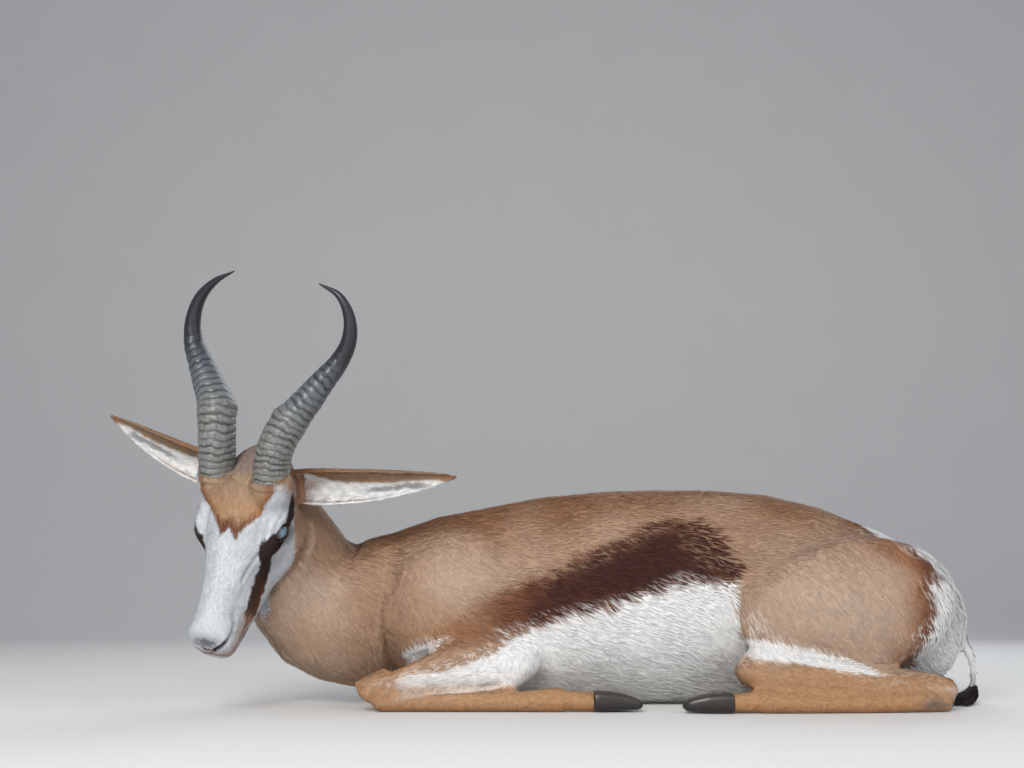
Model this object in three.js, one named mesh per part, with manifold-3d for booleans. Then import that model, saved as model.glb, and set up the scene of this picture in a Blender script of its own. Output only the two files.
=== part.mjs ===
// A springbok ram lying on its chest with its legs folded, head lowered and turned to its left.
// Millimetres, +Z up, the floor at z = 0. The head points to -X and the animal's left side to -Y.
import * as THREE from "three";
import { mergeVertices } from "three/addons/utils/BufferGeometryUtils.js";
import Module from "manifold-3d";

const wasm = await Module();
wasm.setup();

// Fit
const GAP = 0.3;

// Head
const HEAD_NOSE = [-590, -185, 80];
const HEAD_YAW = 15;
const HEAD_PITCH = 70;
const HEAD_ROLL = 8.4;
const NOSE_AHEAD_OF_EYES = 142;
const EYE_RADIUS = 14.5;
const EYE_CENTRE = [-5, 46, 8];
const EYE_OPENING = [27, 19];
const LID_THICKNESS = 2.6;
const MOUTH_LENGTH = 50;
const MOUTH_DROP = 21;
const MOUTH_GAP = 1.2;
const MOUTH_DEPTH = 4;

// Horns
const HORN_BASE = [-52, 36, 40];
const HORN_WIDTH = 42;
const HORN_DEPTH = 46;
const HORN_RINGS = 22;
const HORN_RINGED_PART = 0.68;
const HORN_RING_HEIGHT = 1.8;
// Rise and outward spread of each horn at even steps along it; the two differ a little
const HORN_RISE = {
  l: [0, 29, 56, 82, 107, 132, 157, 183, 211, 235, 247],
  r: [0, 32, 62, 90, 114, 138, 163, 192, 220, 241, 255],
};
const HORN_SPREAD = {
  l: [1, 1.5, 8, 19, 32, 45, 60, 71, 70, 56, 29],
  r: [1, 3, 7, 17, 35, 53, 70, 75, 67, 45, 17],
};
const HORN_LEAN = [0, 8, 12, 8.5, 3, -1.5, -3.5, 1.5, 8, 17, 22];
// Share of the full width at shares of the length: thick up to a step, then tapering
const HORN_GIRTH = [
  [0, 1],
  [0.27, 1.03],
  [0.34, 0.9],
  [0.42, 0.8],
  [0.5, 0.69],
  [0.6, 0.56],
  [0.7, 0.46],
  [0.8, 0.36],
  [0.9, 0.22],
  [1, 0.05],
];

// Ears
const EAR_ROOT = [-70, 44, -2];
const EAR_LENGTH = { l: 204, r: 221 };
const EAR_WIDTH = 48;
const EAR_SWEEP = { l: 22, r: 6 };
const EAR_LIFT = { l: 12, r: 16.5 };
// How far the middle of each ear hangs below the line from its root to its tip
const EAR_SAG = { l: 5, r: 7 };
const EAR_WALL = 2.4;

// Trunk
const BODY_ROLL = 20;

// Legs
const FORE_SPREAD = 100;
const HIND_SPREAD = 112;
const CLAW_LENGTH = 52;
const CLAW_WIDTH = 15;

// Tail
const TAIL_TUFT_LOCKS = 10;
const TAIL_TUFT_LENGTH = 80;

const COLOURS = {
  tan: 0xc8966a,
  white: 0xeeeae4,
  orange: 0xc98f5a,
  horn: 0x5d564c,
  hoof: 0x2a2624,
  eye: 0x1c1614,
};

const radians = (degrees) => (degrees * Math.PI) / 180;
const vector = (list) => new THREE.Vector3(list[0], list[1], list[2]);
const mirrored = (list, side) => [list[0], list[1] * side, list[2]];

// A closed three.js geometry as a manifold solid
function solid(geometry) {
  const bare = geometry.clone();
  bare.deleteAttribute("normal");
  bare.deleteAttribute("uv");
  const merged = mergeVertices(bare, 1e-3);
  const vertProperties = Float32Array.from(merged.getAttribute("position").array);
  const triVerts = Uint32Array.from(merged.index.array);
  const made = new wasm.Manifold(new wasm.Mesh({ numProp: 3, vertProperties, triVerts }));
  if (made.volume() > 0) {
    return made;
  }
  for (let i = 0; i < triVerts.length; i += 3) {
    [triVerts[i + 1], triVerts[i + 2]] = [triVerts[i + 2], triVerts[i + 1]];
  }
  return new wasm.Manifold(new wasm.Mesh({ numProp: 3, vertProperties, triVerts }));
}

const joined = (solids) => solids.reduce((all, one) => all.add(one));
const without = (body, cutters) => cutters.reduce((left, one) => left.subtract(one), body);

// The largest closed surface of a solid
function largest(body) {
  const pieces = body.decompose();
  return pieces.reduce((best, one) => (one.volume() > best.volume() ? one : best));
}

// A superellipse point: 2 is round and more is squarer
function roundedSquare(angle, power) {
  const c = Math.cos(angle);
  const s = Math.sin(angle);
  const exponent = 2 / power;
  return [Math.sign(c) * Math.abs(c) ** exponent, Math.sign(s) * Math.abs(s) ** exponent];
}

// How much of the section is left at t, with each end rounded off over its own share of the length
function capScale(t, startCap, endCap) {
  const intoStart = startCap > 0 ? Math.max(0, 1 - t / startCap) : 0;
  const intoEnd = endCap > 0 ? Math.max(0, 1 - (1 - t) / endCap) : 0;
  return Math.sqrt(Math.max(0, 1 - intoStart ** 2)) * Math.sqrt(Math.max(0, 1 - intoEnd ** 2));
}

// How strongly the rings of a loft crowd towards its rounded ends
const END_BIAS = 0.6;

// A closed body along a smooth spine. Each station has its centre and its half width, half height,
// squareness and pinch, where a pinch above 0 makes the top of the section narrower than its foot.
function loft({ stations, sides = 16, rings = 12, startCap = 0.1, endCap = 0.1, up = [0, 0, 1], grow = 0 }) {
  const spine = new THREE.CatmullRomCurve3(stations.map((s) => vector(s.at)), false, "centripetal");
  const size = new THREE.CatmullRomCurve3(
    stations.map((s) => new THREE.Vector3(s.wide, s.high, 0)),
  );
  const form = new THREE.CatmullRomCurve3(
    stations.map((s) => new THREE.Vector3(s.square ?? 2, s.pinch ?? 0, s.roll ?? 0)),
  );
  const geometry = new THREE.SphereGeometry(1, sides, rings);
  const position = geometry.getAttribute("position");
  const reach = new THREE.Vector3();
  for (let i = 0; i < position.count; i += 1) {
    const ring = Math.floor(i / (sides + 1));
    const angle = (2 * Math.PI * (i % (sides + 1))) / sides;
    const t = THREE.MathUtils.lerp(ring / rings, (1 - Math.cos((Math.PI * ring) / rings)) / 2, END_BIAS);
    const tangent = spine.getTangent(t);
    const [power, pinch, roll] = form.getPoint(t).toArray();
    const lift = vector(up).applyAxisAngle(tangent, radians(roll));
    lift.addScaledVector(tangent, -lift.dot(tangent)).normalize();
    const across = new THREE.Vector3().crossVectors(tangent, lift);
    const [wide, high] = size.getPoint(t).toArray();
    const scale = capScale(t, startCap, endCap);
    const [c, s] = roundedSquare(angle, power);
    reach.copy(spine.getPoint(t));
    reach.addScaledVector(across, c * (wide + grow) * scale * (1 - pinch * s));
    reach.addScaledVector(lift, s * (high + grow) * scale);
    reach.addScaledVector(tangent, grow * (2 * t - 1));
    position.setXYZ(i, reach.x, reach.y, reach.z);
  }
  return solid(geometry);
}

function ball(centre, radius, detail = 16) {
  const geometry = new THREE.SphereGeometry(radius, detail, Math.round(detail * 0.6));
  return solid(geometry.translate(centre[0], centre[1], centre[2]));
}

// A station of a loft
const at = (x, y, z, wide, high, more = {}) => ({ at: [x, y, z], wide, high, ...more });

// The floor cuts the small flats that the animal rests on
const aboveFloor = (body) => body.trimByPlane([0, 0, 1], 0);

const model = new THREE.Group();

function addNode(parent, name, body, colour, roughness = 0.9) {
  const mesh = body.getMesh();
  const geometry = new THREE.BufferGeometry();
  geometry.setAttribute("position", new THREE.BufferAttribute(mesh.vertProperties, 3));
  geometry.setIndex(new THREE.BufferAttribute(mesh.triVerts, 1));
  geometry.computeVertexNormals();
  const material = new THREE.MeshStandardMaterial({ color: colour, roughness, metalness: 0 });
  const node = new THREE.Mesh(geometry, material);
  node.name = name;
  parent.add(node);
}

// Head frame: x runs down the face from the eye line, y to the animal's left, z out of the forehead
function headMatrix() {
  const yaw = radians(HEAD_YAW);
  const pitch = radians(HEAD_PITCH);
  const roll = radians(HEAD_ROLL);
  const facing = new THREE.Vector3(-Math.sin(yaw), -Math.cos(yaw), 0);
  const level = new THREE.Vector3(Math.cos(yaw), -Math.sin(yaw), 0);
  const upright = new THREE.Vector3(0, 0, 1);
  const left = level.clone().multiplyScalar(Math.cos(roll)).addScaledVector(upright, -Math.sin(roll));
  const crown = upright.clone().multiplyScalar(Math.cos(roll)).addScaledVector(level, Math.sin(roll));
  const down = facing.clone().multiplyScalar(Math.cos(pitch)).addScaledVector(crown, -Math.sin(pitch));
  const out = facing.clone().multiplyScalar(Math.sin(pitch)).addScaledVector(crown, Math.cos(pitch));
  const matrix = new THREE.Matrix4().makeBasis(down, left, out);
  const origin = vector(HEAD_NOSE).addScaledVector(down, -NOSE_AHEAD_OF_EYES);
  return matrix.setPosition(origin);
}

const HEAD = headMatrix();
const inWorld = (body) => body.transform(HEAD.elements);

// The skull and muzzle as one loft down the face
function skull(grow = 0) {
  return loft({
    grow,
    sides: 20,
    rings: 20,
    startCap: 0.16,
    endCap: 0.045,
    stations: [
      at(-118, 0, -8, 34, 36),
      at(-90, 0, 0, 42, 42),
      at(-60, 0, -2, 50, 49, { square: 2.3 }),
      at(-30, 0, -8, 52, 54, { square: 2.3, pinch: 0.02 }),
      at(0, 0, -16, 48, 58, { square: 2.3 }),
      at(30, 0, -21, 40, 54, { square: 2.3, pinch: 0.02 }),
      at(60, 0, -23, 33, 47, { square: 2.3 }),
      at(90, 0, -23, 29, 40, { square: 2.3 }),
      at(115, 0, -22, 28, 35, { square: 2.5 }),
      at(134, 0, -20, 27, 29, { square: 2.5 }),
      at(NOSE_AHEAD_OF_EYES, 0, -18, 22, 22, { square: 2.4 }),
    ],
  });
}

// The brow and orbit that each eye sits in
function orbit(side, grow = 0) {
  return loft({
    grow,
    sides: 10,
    rings: 8,
    startCap: 0.5,
    endCap: 0.5,
    stations: [
      at(-68, 38 * side, 2, 12, 18),
      at(-40, 46 * side, 9, 14, 20),
      at(-14, 48 * side, 12, 15, 20),
      at(4, 46 * side, 9, 15, 20),
      at(20, 38 * side, 3, 12, 16),
      at(40, 28 * side, -4, 7, 10),
    ],
  });
}

// The cheek and the angle of the jaw
function cheek(side, grow = 0) {
  return loft({
    grow,
    sides: 10,
    rings: 8,
    startCap: 0.4,
    endCap: 0.5,
    stations: [
      at(-62, 33 * side, -46, 15, 28),
      at(-34, 38 * side, -52, 16, 33),
      at(0, 34 * side, -51, 15, 30),
      at(40, 24.5 * side, -38, 11, 21),
      at(72, 18 * side, -27, 7.5, 12),
    ],
  });
}

// The opening between the lids, an almond pushed out along the eye's own axis
function lidOpening(side) {
  const [long, high] = EYE_OPENING;
  const almond = new THREE.Shape();
  almond.moveTo(-long / 2, 0);
  almond.quadraticCurveTo(-long / 6, high, long / 2, -high / 8);
  almond.quadraticCurveTo(0, -high * 0.95, -long / 2, 0);
  const geometry = new THREE.ExtrudeGeometry(almond, { depth: 30, bevelEnabled: false, curveSegments: 6 });
  const gaze = new THREE.Vector3(0.12, 0.93 * side, 0.36).normalize();
  const forward = new THREE.Vector3(1, 0, 0.12);
  forward.addScaledVector(gaze, -forward.dot(gaze)).normalize();
  const lift = new THREE.Vector3().crossVectors(gaze, forward);
  const turn = new THREE.Matrix4().makeBasis(forward, lift.multiplyScalar(side), gaze);
  turn.setPosition(vector(mirrored(EYE_CENTRE, side)).addScaledVector(gaze, 3));
  return solid(geometry.applyMatrix4(turn));
}

// The closed mouth as a shallow slit round the muzzle, its corners turned up
function mouthSlit() {
  const start = NOSE_AHEAD_OF_EYES - MOUTH_LENGTH;
  const end = NOSE_AHEAD_OF_EYES + 10;
  const line = new THREE.Shape();
  line.moveTo(start, -MOUTH_DROP - 2);
  line.quadraticCurveTo(start + 24, -MOUTH_DROP - 8, end, -MOUTH_DROP + 2);
  line.lineTo(end, -MOUTH_DROP + 2 - MOUTH_GAP);
  line.quadraticCurveTo(start + 24, -MOUTH_DROP - 8 - MOUTH_GAP, start, -MOUTH_DROP - 2);
  const slab = new THREE.ExtrudeGeometry(line, { depth: 80, bevelEnabled: false, curveSegments: 8 });
  slab.rotateX(Math.PI / 2).translate(0, 40, 0);
  return solid(slab).subtract(skull(-MOUTH_DEPTH));
}

function nostril(side) {
  return loft({
    sides: 8,
    rings: 6,
    startCap: 0.5,
    endCap: 0.5,
    stations: [
      at(127, 15 * side, -8, 2.2, 3),
      at(136, 11 * side, -7, 3, 4.2),
      at(145, 6 * side, -9, 3.4, 4),
    ],
  });
}

// One horn's centre line in the head frame, given as spread, rise and lean at equal steps
function hornLine(side) {
  const pitch = radians(HEAD_PITCH);
  const spread = side > 0 ? HORN_SPREAD.l : HORN_SPREAD.r;
  const rise = side > 0 ? HORN_RISE.l : HORN_RISE.r;
  const points = rise.map((up, i) => {
    const lean = HORN_LEAN[i];
    const x = HORN_BASE[0] - up * Math.sin(pitch) + lean * Math.cos(pitch);
    const z = HORN_BASE[2] + up * Math.cos(pitch) + lean * Math.sin(pitch);
    return [x, (HORN_BASE[1] + spread[i]) * side, z];
  });
  return points;
}

// A horn is a ringed taper whose tip is smooth
function horn(side) {
  const line = hornLine(side);
  const rows = Math.round((2 * HORN_RINGS) / HORN_RINGED_PART);
  const sides = 10;
  const curve = new THREE.CatmullRomCurve3(line.map(vector), false, "centripetal");
  const geometry = new THREE.CylinderGeometry(1, 1, 1, sides, rows);
  const position = geometry.getAttribute("position");
  const front = new THREE.Vector3(1, 0, 0.6).normalize();
  for (let i = 0; i < position.count; i += 1) {
    const t = THREE.MathUtils.clamp(position.getY(i) + 0.5, 0, 1);
    const radial = Math.hypot(position.getX(i), position.getZ(i));
    const angle = Math.atan2(position.getZ(i), position.getX(i));
    const tangent = curve.getTangentAt(t);
    const ahead = front.clone().addScaledVector(tangent, -front.dot(tangent)).normalize();
    const across = new THREE.Vector3().crossVectors(tangent, ahead);
    const taper = hornTaper(t);
    const ring = hornRing(t) * (0.65 + 0.35 * Math.sin(angle));
    const half = radial * (taper * 0.5);
    const place = curve.getPointAt(t);
    place.addScaledVector(across, Math.cos(angle) * (half * HORN_WIDTH + radial * ring));
    place.addScaledVector(ahead, Math.sin(angle) * (half * HORN_DEPTH + radial * ring));
    position.setXYZ(i, place.x, place.y, place.z);
  }
  return solid(geometry);
}

function hornTaper(t) {
  const next = HORN_GIRTH.findIndex(([share]) => share >= t);
  if (next < 1) {
    return HORN_GIRTH[0][1];
  }
  const [from, thick] = HORN_GIRTH[next - 1];
  const [to, thin] = HORN_GIRTH[next];
  return THREE.MathUtils.mapLinear(t, from, to, thick, thin);
}

function hornRing(t) {
  if (t > HORN_RINGED_PART) {
    return 0;
  }
  const phase = (t / HORN_RINGED_PART) * HORN_RINGS;
  const fade = 1 - 0.6 * (t / HORN_RINGED_PART);
  const bump = 0.5 - 0.5 * Math.cos(2 * Math.PI * phase);
  return HORN_RING_HEIGHT * fade * bump;
}

// The ear is a leaf-shaped cup: an outer leaf with the hollow taken out of its open side
function ear(side) {
  const pitch = radians(HEAD_PITCH);
  const tag = side > 0 ? "l" : "r";
  const sweep = radians(EAR_SWEEP[tag]);
  const lift = radians(EAR_LIFT[tag]);
  const out = Math.cos(sweep) * Math.cos(lift) * side;
  const back = Math.sin(sweep) * Math.cos(lift);
  const rise = Math.sin(lift);
  const along = new THREE.Vector3(
    -rise * Math.sin(pitch) - back * Math.cos(pitch),
    out,
    rise * Math.cos(pitch) - back * Math.sin(pitch),
  );
  const openTo = new THREE.Vector3(Math.cos(pitch) + 0.55, 0.25 * side, Math.sin(pitch));
  openTo.addScaledVector(along, -openTo.dot(along)).normalize();
  const root = vector(mirrored(EAR_ROOT, side));
  const centreAt = (share) => {
    const centre = root.clone().addScaledVector(along, share * EAR_LENGTH[tag]);
    centre.x += EAR_SAG[tag] * Math.sin(Math.PI * THREE.MathUtils.clamp(share, 0, 1));
    return centre;
  };
  const leaf = [
    [-0.08, 0.42, 0.36],
    [0.06, 0.49, 0.4],
    [0.25, 0.5, 0.36],
    [0.5, 0.44, 0.26],
    [0.75, 0.3, 0.16],
    [0.92, 0.14, 0.08],
    [1, 0.04, 0.03],
  ];
  const stations = leaf.map(([share, wide, deep]) => {
    const centre = centreAt(share);
    return at(centre.x, centre.y, centre.z, wide * EAR_WIDTH, deep * EAR_WIDTH);
  });
  const hollow = leaf.slice(1, 6).map(([share, wide, deep]) => {
    const centre = centreAt(share).addScaledVector(along, EAR_WALL);
    centre.addScaledVector(openTo, deep * EAR_WIDTH * 0.45 + EAR_WALL);
    return at(centre.x, centre.y, centre.z, wide * EAR_WIDTH - EAR_WALL, deep * EAR_WIDTH);
  });
  const up = openTo.toArray();
  const outer = loft({ stations, up, sides: 10, rings: 11, startCap: 0.05, endCap: 0.1 });
  return outer.subtract(loft({ stations: hollow, up, sides: 10, rings: 10, startCap: 0.3, endCap: 0.3 }));
}

// Neck: from the chest forward and up, then turned towards the head
const NECK_STATIONS = [
  at(-345, 0, 124, 95, 112),
  at(-400, -4, 118, 84, 100),
  at(-447, -10, 118, 76, 97),
  at(-489, -20, 138, 68, 91),
  at(-508, -36, 182, 58, 75),
  at(-522, -58, 226, 50, 58),
  at(-530, -88, 256, 44, 46),
];
const neckForm = (grow = 0) =>
  loft({ grow, stations: NECK_STATIONS, sides: 20, rings: 15, startCap: 0.05, endCap: 0.12 });

// Trunk: chest, belly and croup, the belly turned a little to the animal's left
const TRUNK_STATIONS = [
  at(-410, -4, 116, 70, 92),
  at(-370, 0, 122, 88, 106, { pinch: 0.12 }),
  at(-320, 0, 125, 98, 120, { pinch: 0.2, roll: 0.1 * BODY_ROLL }),
  at(-240, 2, 128, 106, 132, { pinch: 0.2, roll: 0.3 * BODY_ROLL }),
  at(-140, 4, 136, 116, 140, { pinch: 0.16, roll: 0.6 * BODY_ROLL }),
  at(-30, 6, 139, 122, 143, { pinch: 0.12, roll: 0.9 * BODY_ROLL }),
  at(80, 8, 139, 118, 141, { pinch: 0.12, roll: BODY_ROLL }),
  at(180, 8, 129, 108, 124, { pinch: 0.12, roll: 0.9 * BODY_ROLL }),
  at(260, 8, 112, 96, 104, { pinch: 0.1, roll: 0.7 * BODY_ROLL }),
  at(322, 8, 90, 80, 82, { pinch: 0.06, roll: 0.5 * BODY_ROLL }),
  at(368, 8, 72, 56, 62),
];
const trunkForm = (grow = 0) =>
  loft({ grow, stations: TRUNK_STATIONS, sides: 24, rings: 22, startCap: 0.1, endCap: 0.09 });

// Foreleg: shoulder and upper arm back to the elbow, forearm forward to the knee, cannon back again
function foreShoulder(side, grow = 0) {
  const y = side * FORE_SPREAD;
  const blade = loft({
    grow,
    sides: 12,
    rings: 9,
    startCap: 0.3,
    endCap: 0.3,
    stations: [
      at(-256, y * 0.6, 218, 20, 36),
      at(-296, y * 0.74, 184, 26, 48),
      at(-332, y * 0.81, 142, 28, 50),
      at(-350, y * 0.86, 104, 26, 42),
    ],
    up: [1, 0, 0.4],
  });
  const arm = loft({
    grow,
    sides: 12,
    rings: 8,
    startCap: 0.35,
    endCap: 0.35,
    stations: [
      at(-360, y * 0.86, 110, 25, 36),
      at(-310, y * 0.93, 97, 26, 42),
      at(-250, y * 1.0, 82, 24, 37),
      at(-196, y * 1.0, 66, 17, 24),
    ],
  });
  return joined([blade, arm]);
}

function foreForearm(side, grow = 0) {
  const y = side * FORE_SPREAD;
  return loft({
    grow,
    sides: 10,
    rings: 10,
    startCap: 0.14,
    endCap: 0.1,
    stations: [
      at(-190, y * 1.02, 54, 18, 26),
      at(-230, y * 1.1, 56, 22, 31),
      at(-280, y * 1.18, 56, 22, 30),
      at(-330, y * 1.22, 48, 18, 22),
      at(-372, y * 1.24, 36, 16, 17),
      at(-402, y * 1.24, 25, 18, 20),
      at(-412, y * 1.24, 16, 17, 17),
    ],
  });
}

function foreCannon(side, grow = 0) {
  const y = side * FORE_SPREAD;
  return loft({
    grow,
    sides: 10,
    rings: 9,
    startCap: 0.06,
    endCap: 0.08,
    stations: [
      at(-398, y * 1.26, 13, 15, 15),
      at(-370, y * 1.28, 12, 13, 13.5),
      at(-300, y * 1.3, 11.5, 11.5, 12.5),
      at(-220, y * 1.3, 11.5, 11.5, 12.5),
      at(-180, y * 1.3, 13.5, 14, 15.5),
      at(-164, y * 1.3, 13.5, 14, 15.5),
    ],
  });
}

function forePastern(side, grow = 0) {
  const y = side * FORE_SPREAD;
  return loft({
    grow,
    sides: 10,
    rings: 6,
    startCap: 0.08,
    endCap: 0.08,
    stations: [
      at(-178, y * 1.3, 13.5, 11, 12.5),
      at(-150, y * 1.3, 12.5, 12, 12.5),
      at(-128, y * 1.29, 11.5, 12, 12),
      at(-106, y * 1.28, 12, 14, 12.5),
    ],
  });
}

// A claw is a pointed wedge with a flat inner side; two make one foot
function claw(x, y, z, lean, grow = 0) {
  const dx = CLAW_LENGTH;
  return loft({
    grow,
    sides: 8,
    rings: 6,
    startCap: 0.1,
    endCap: 0.12,
    stations: [
      at(x, y, z, CLAW_WIDTH / 2, 12, { square: 2.6 }),
      at(x + 0.4 * dx, y + lean * 0.3, z - 0.5, CLAW_WIDTH / 2, 11, { square: 2.6 }),
      at(x + 0.8 * dx, y + lean * 0.8, z - 3, CLAW_WIDTH * 0.36, 7.5, { square: 2.4 }),
      at(x + dx, y + lean, z - 5.5, CLAW_WIDTH * 0.16, 4.5, { square: 2.2 }),
    ],
  });
}

// Hind leg: thigh from the croup forward to the stifle, gaskin back to the hock, cannon forward
function hindThigh(side, grow = 0) {
  const y = side * HIND_SPREAD;
  return loft({
    grow,
    sides: 14,
    rings: 11,
    startCap: 0.2,
    endCap: 0.25,
    up: [0.55, 0, 1],
    stations: [
      at(318, y * 0.64, 92, 44, 62),
      at(270, y * 0.75, 120, 46, 84),
      at(205, y * 0.86, 128, 42, 88),
      at(140, y * 0.95, 120, 35, 74),
      at(85, y * 1.03, 104, 27, 52),
      at(48, y * 1.06, 86, 18, 32),
    ],
  });
}

function hindGaskin(side, grow = 0) {
  const y = side * HIND_SPREAD;
  return loft({
    grow,
    sides: 10,
    rings: 10,
    startCap: 0.12,
    endCap: 0.08,
    stations: [
      at(36, y * 1.08, 50, 20, 22),
      at(75, y * 1.14, 47, 24, 25),
      at(130, y * 1.16, 40, 23, 22),
      at(190, y * 1.14, 34, 18, 18),
      at(250, y * 1.1, 32, 13, 20),
      at(290, y * 1.06, 26, 12, 20),
      at(312, y * 1.04, 17, 12, 14),
    ],
  });
}

function hindCannon(side, grow = 0) {
  const y = side * HIND_SPREAD;
  return loft({
    grow,
    sides: 10,
    rings: 9,
    startCap: 0.06,
    endCap: 0.08,
    stations: [
      at(306, y * 1.1, 13, 13, 15),
      at(270, y * 1.18, 12, 12.5, 13.5),
      at(200, y * 1.28, 10.5, 11, 11.5),
      at(120, y * 1.32, 10.5, 11, 11.5),
      at(78, y * 1.32, 13, 13.5, 15),
      at(62, y * 1.32, 13, 13.5, 15),
    ],
  });
}

function hindPastern(side, grow = 0) {
  const y = side * HIND_SPREAD;
  return loft({
    grow,
    sides: 10,
    rings: 6,
    startCap: 0.08,
    endCap: 0.08,
    stations: [
      at(78, y * 1.32, 13, 11, 12.5),
      at(52, y * 1.32, 12.5, 12, 12.5),
      at(30, y * 1.31, 11.5, 12, 11.5),
      at(8, y * 1.3, 11.5, 14, 12),
    ],
  });
}

// Tail: down the middle of the rump, its tuft laid on the floor
const TAIL_STATIONS = [
  at(330, 10, 146, 15, 12),
  at(352, 10, 122, 12, 10),
  at(370, 8, 92, 10, 9),
  at(380, 4, 58, 9, 8),
  at(378, -4, 30, 8, 8),
  at(366, -16, 12, 7, 7),
];
const tailDock = (grow = 0) =>
  loft({ grow, stations: TAIL_STATIONS, sides: 8, rings: 10, startCap: 0.1, endCap: 0.1, up: [0, 1, 0] });

// One flat tapered lock of the tuft
function tuftLock(index) {
  const turn = (index / (TAIL_TUFT_LOCKS - 1) - 0.5) * 1.3;
  const length = TAIL_TUFT_LENGTH * (0.8 + 0.2 * Math.cos(2.1 * index));
  const heading = new THREE.Vector3(-Math.cos(turn) * 0.75, -0.65 + 0.5 * Math.sin(turn), 0).normalize();
  const height = 5 + 3 * (index % 3);
  const place = (share, drop) => [
    376 + heading.x * length * share,
    -10 + heading.y * length * share,
    Math.max(2.2, height + 6 - drop * 12),
  ];
  const [a, b, c, d] = [place(0, 0), place(0.35, 0.3), place(0.7, 0.7), place(1, 1)];
  return loft({
    sides: 5,
    rings: 5,
    startCap: 0.1,
    endCap: 0.1,
    stations: [at(...a, 5, 3), at(...b, 6.5, 3), at(...c, 4.5, 2.2), at(...d, 1, 0.8)],
  });
}

// The neck is parted from the trunk where it leaves the chest
const NECK_PLANE = { point: [-388, 0, 120], normal: [1, 0.05, 0] };

// One side of a body parted by a plane: the side that the normal points away from, or the other
function parted(body, plane, side) {
  const normal = vector(plane.normal).normalize().multiplyScalar(side);
  return body.trimByPlane(normal.toArray(), normal.dot(vector(plane.point)) + GAP / 2);
}

function headFlesh(grow = 0) {
  const forms = [skull(grow)];
  for (const side of [1, -1]) {
    forms.push(orbit(side, grow), cheek(side, grow));
  }
  return inWorld(joined(forms));
}

function buildHead() {
  let flesh = headFlesh();
  for (const side of [1, -1]) {
    const centre = mirrored(EYE_CENTRE, side);
    flesh = flesh.add(inWorld(ball(centre, EYE_RADIUS + LID_THICKNESS)));
    flesh = flesh.subtract(inWorld(lidOpening(side)));
    flesh = flesh.subtract(inWorld(ball(centre, EYE_RADIUS + GAP)));
  }
  return without(flesh, [mouthSlit(), nostril(1), nostril(-1)].map(inWorld));
}

function addHead() {
  addNode(model, "head", largest(buildHead()), COLOURS.white);
  const flesh = headFlesh(GAP);
  const neck = neckForm(GAP);
  for (const [side, name] of [[1, "l"], [-1, "r"]]) {
    addNode(model, `horn_${name}`, largest(inWorld(horn(side)).subtract(flesh)), COLOURS.horn, 0.5);
    const leaf = without(inWorld(ear(side)), [flesh, neck, inWorld(horn(side))]);
    addNode(model, `ear_${name}`, largest(leaf), COLOURS.tan);
    const eye = inWorld(ball(mirrored(EYE_CENTRE, side), EYE_RADIUS));
    addNode(model, `eye_${name}`, eye, COLOURS.eye, 0.15);
  }
}

function addNeck() {
  const neighbours = [headFlesh(GAP), foreShoulder(1, GAP), foreShoulder(-1, GAP)];
  const body = without(parted(neckForm(), NECK_PLANE, -1), neighbours);
  addNode(model, "neck", largest(aboveFloor(body)), COLOURS.tan);
}

// The four feet: each leg's nodes are cut by the node above them
function legParts(forms, clawPlaces) {
  const [upper, middle, cannon, pastern] = forms;
  const parts = {
    upper: upper(),
    middle: without(middle(), [upper(GAP)]),
    cannon: without(cannon(), [upper(GAP), middle(GAP)]),
    pastern: without(pastern(), [cannon(GAP), middle(GAP), upper(GAP)]),
  };
  const [inner, outer] = clawPlaces;
  parts.claw_in = without(inner(), [pastern(GAP), middle(GAP)]);
  parts.claw_out = without(outer(), [pastern(GAP), middle(GAP), inner(GAP)]);
  return parts;
}

function foreLeg(side) {
  const forms = [foreShoulder, foreForearm, foreCannon, forePastern].map((form) => (grow) => form(side, grow));
  const y = side * FORE_SPREAD * 1.28;
  const place = (offset) => (grow) => claw(-124, y + offset * side, 12.5, -offset * side * 0.4, grow);
  return legParts(forms, [place(-8.5), place(8.5)]);
}

function hindLeg(side) {
  const forms = [hindThigh, hindGaskin, hindCannon, hindPastern].map((form) => (grow) => form(side, grow));
  const y = side * HIND_SPREAD * 1.3;
  const place = (offset) => (grow) => hindClaw(26, y + offset * side, 12, -offset * side * 0.4, grow);
  return legParts(forms, [place(-8.5), place(8.5)]);
}

function hindClaw(x, y, z, lean, grow = 0) {
  return claw(0, 0, z, -lean, grow).transform([-1, 0, 0, 0, 0, -1, 0, 0, 0, 0, 1, 0, x, y, 0, 1]);
}

const LEG_NODES = {
  fore: { upper: "shoulder", middle: "forearm" },
  hind: { upper: "thigh", middle: "gaskin" },
};

function addLegs() {
  const colours = { upper: COLOURS.tan, middle: COLOURS.tan, cannon: COLOURS.orange, pastern: COLOURS.orange };
  for (const [end, leg] of [["fore", foreLeg], ["hind", hindLeg]]) {
    for (const [side, letter] of [[-1, "l"], [1, "r"]]) {
      for (const [key, body] of Object.entries(leg(side))) {
        const name = `${end}_${letter}_${LEG_NODES[end][key] ?? key}`;
        addNode(model, name, largest(aboveFloor(body)), colours[key] ?? COLOURS.hoof);
      }
    }
  }
}

function addTrunk() {
  const legs = [];
  for (const side of [1, -1]) {
    legs.push(foreShoulder(side, GAP), foreForearm(side, GAP), foreCannon(side, GAP), forePastern(side, GAP));
    legs.push(hindThigh(side, GAP), hindGaskin(side, GAP), hindCannon(side, GAP), hindPastern(side, GAP));
  }
  const body = parted(trunkForm(), NECK_PLANE, 1);
  addNode(model, "torso", largest(aboveFloor(without(body, [...legs, tailDock(GAP)]))), COLOURS.tan);
}

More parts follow.
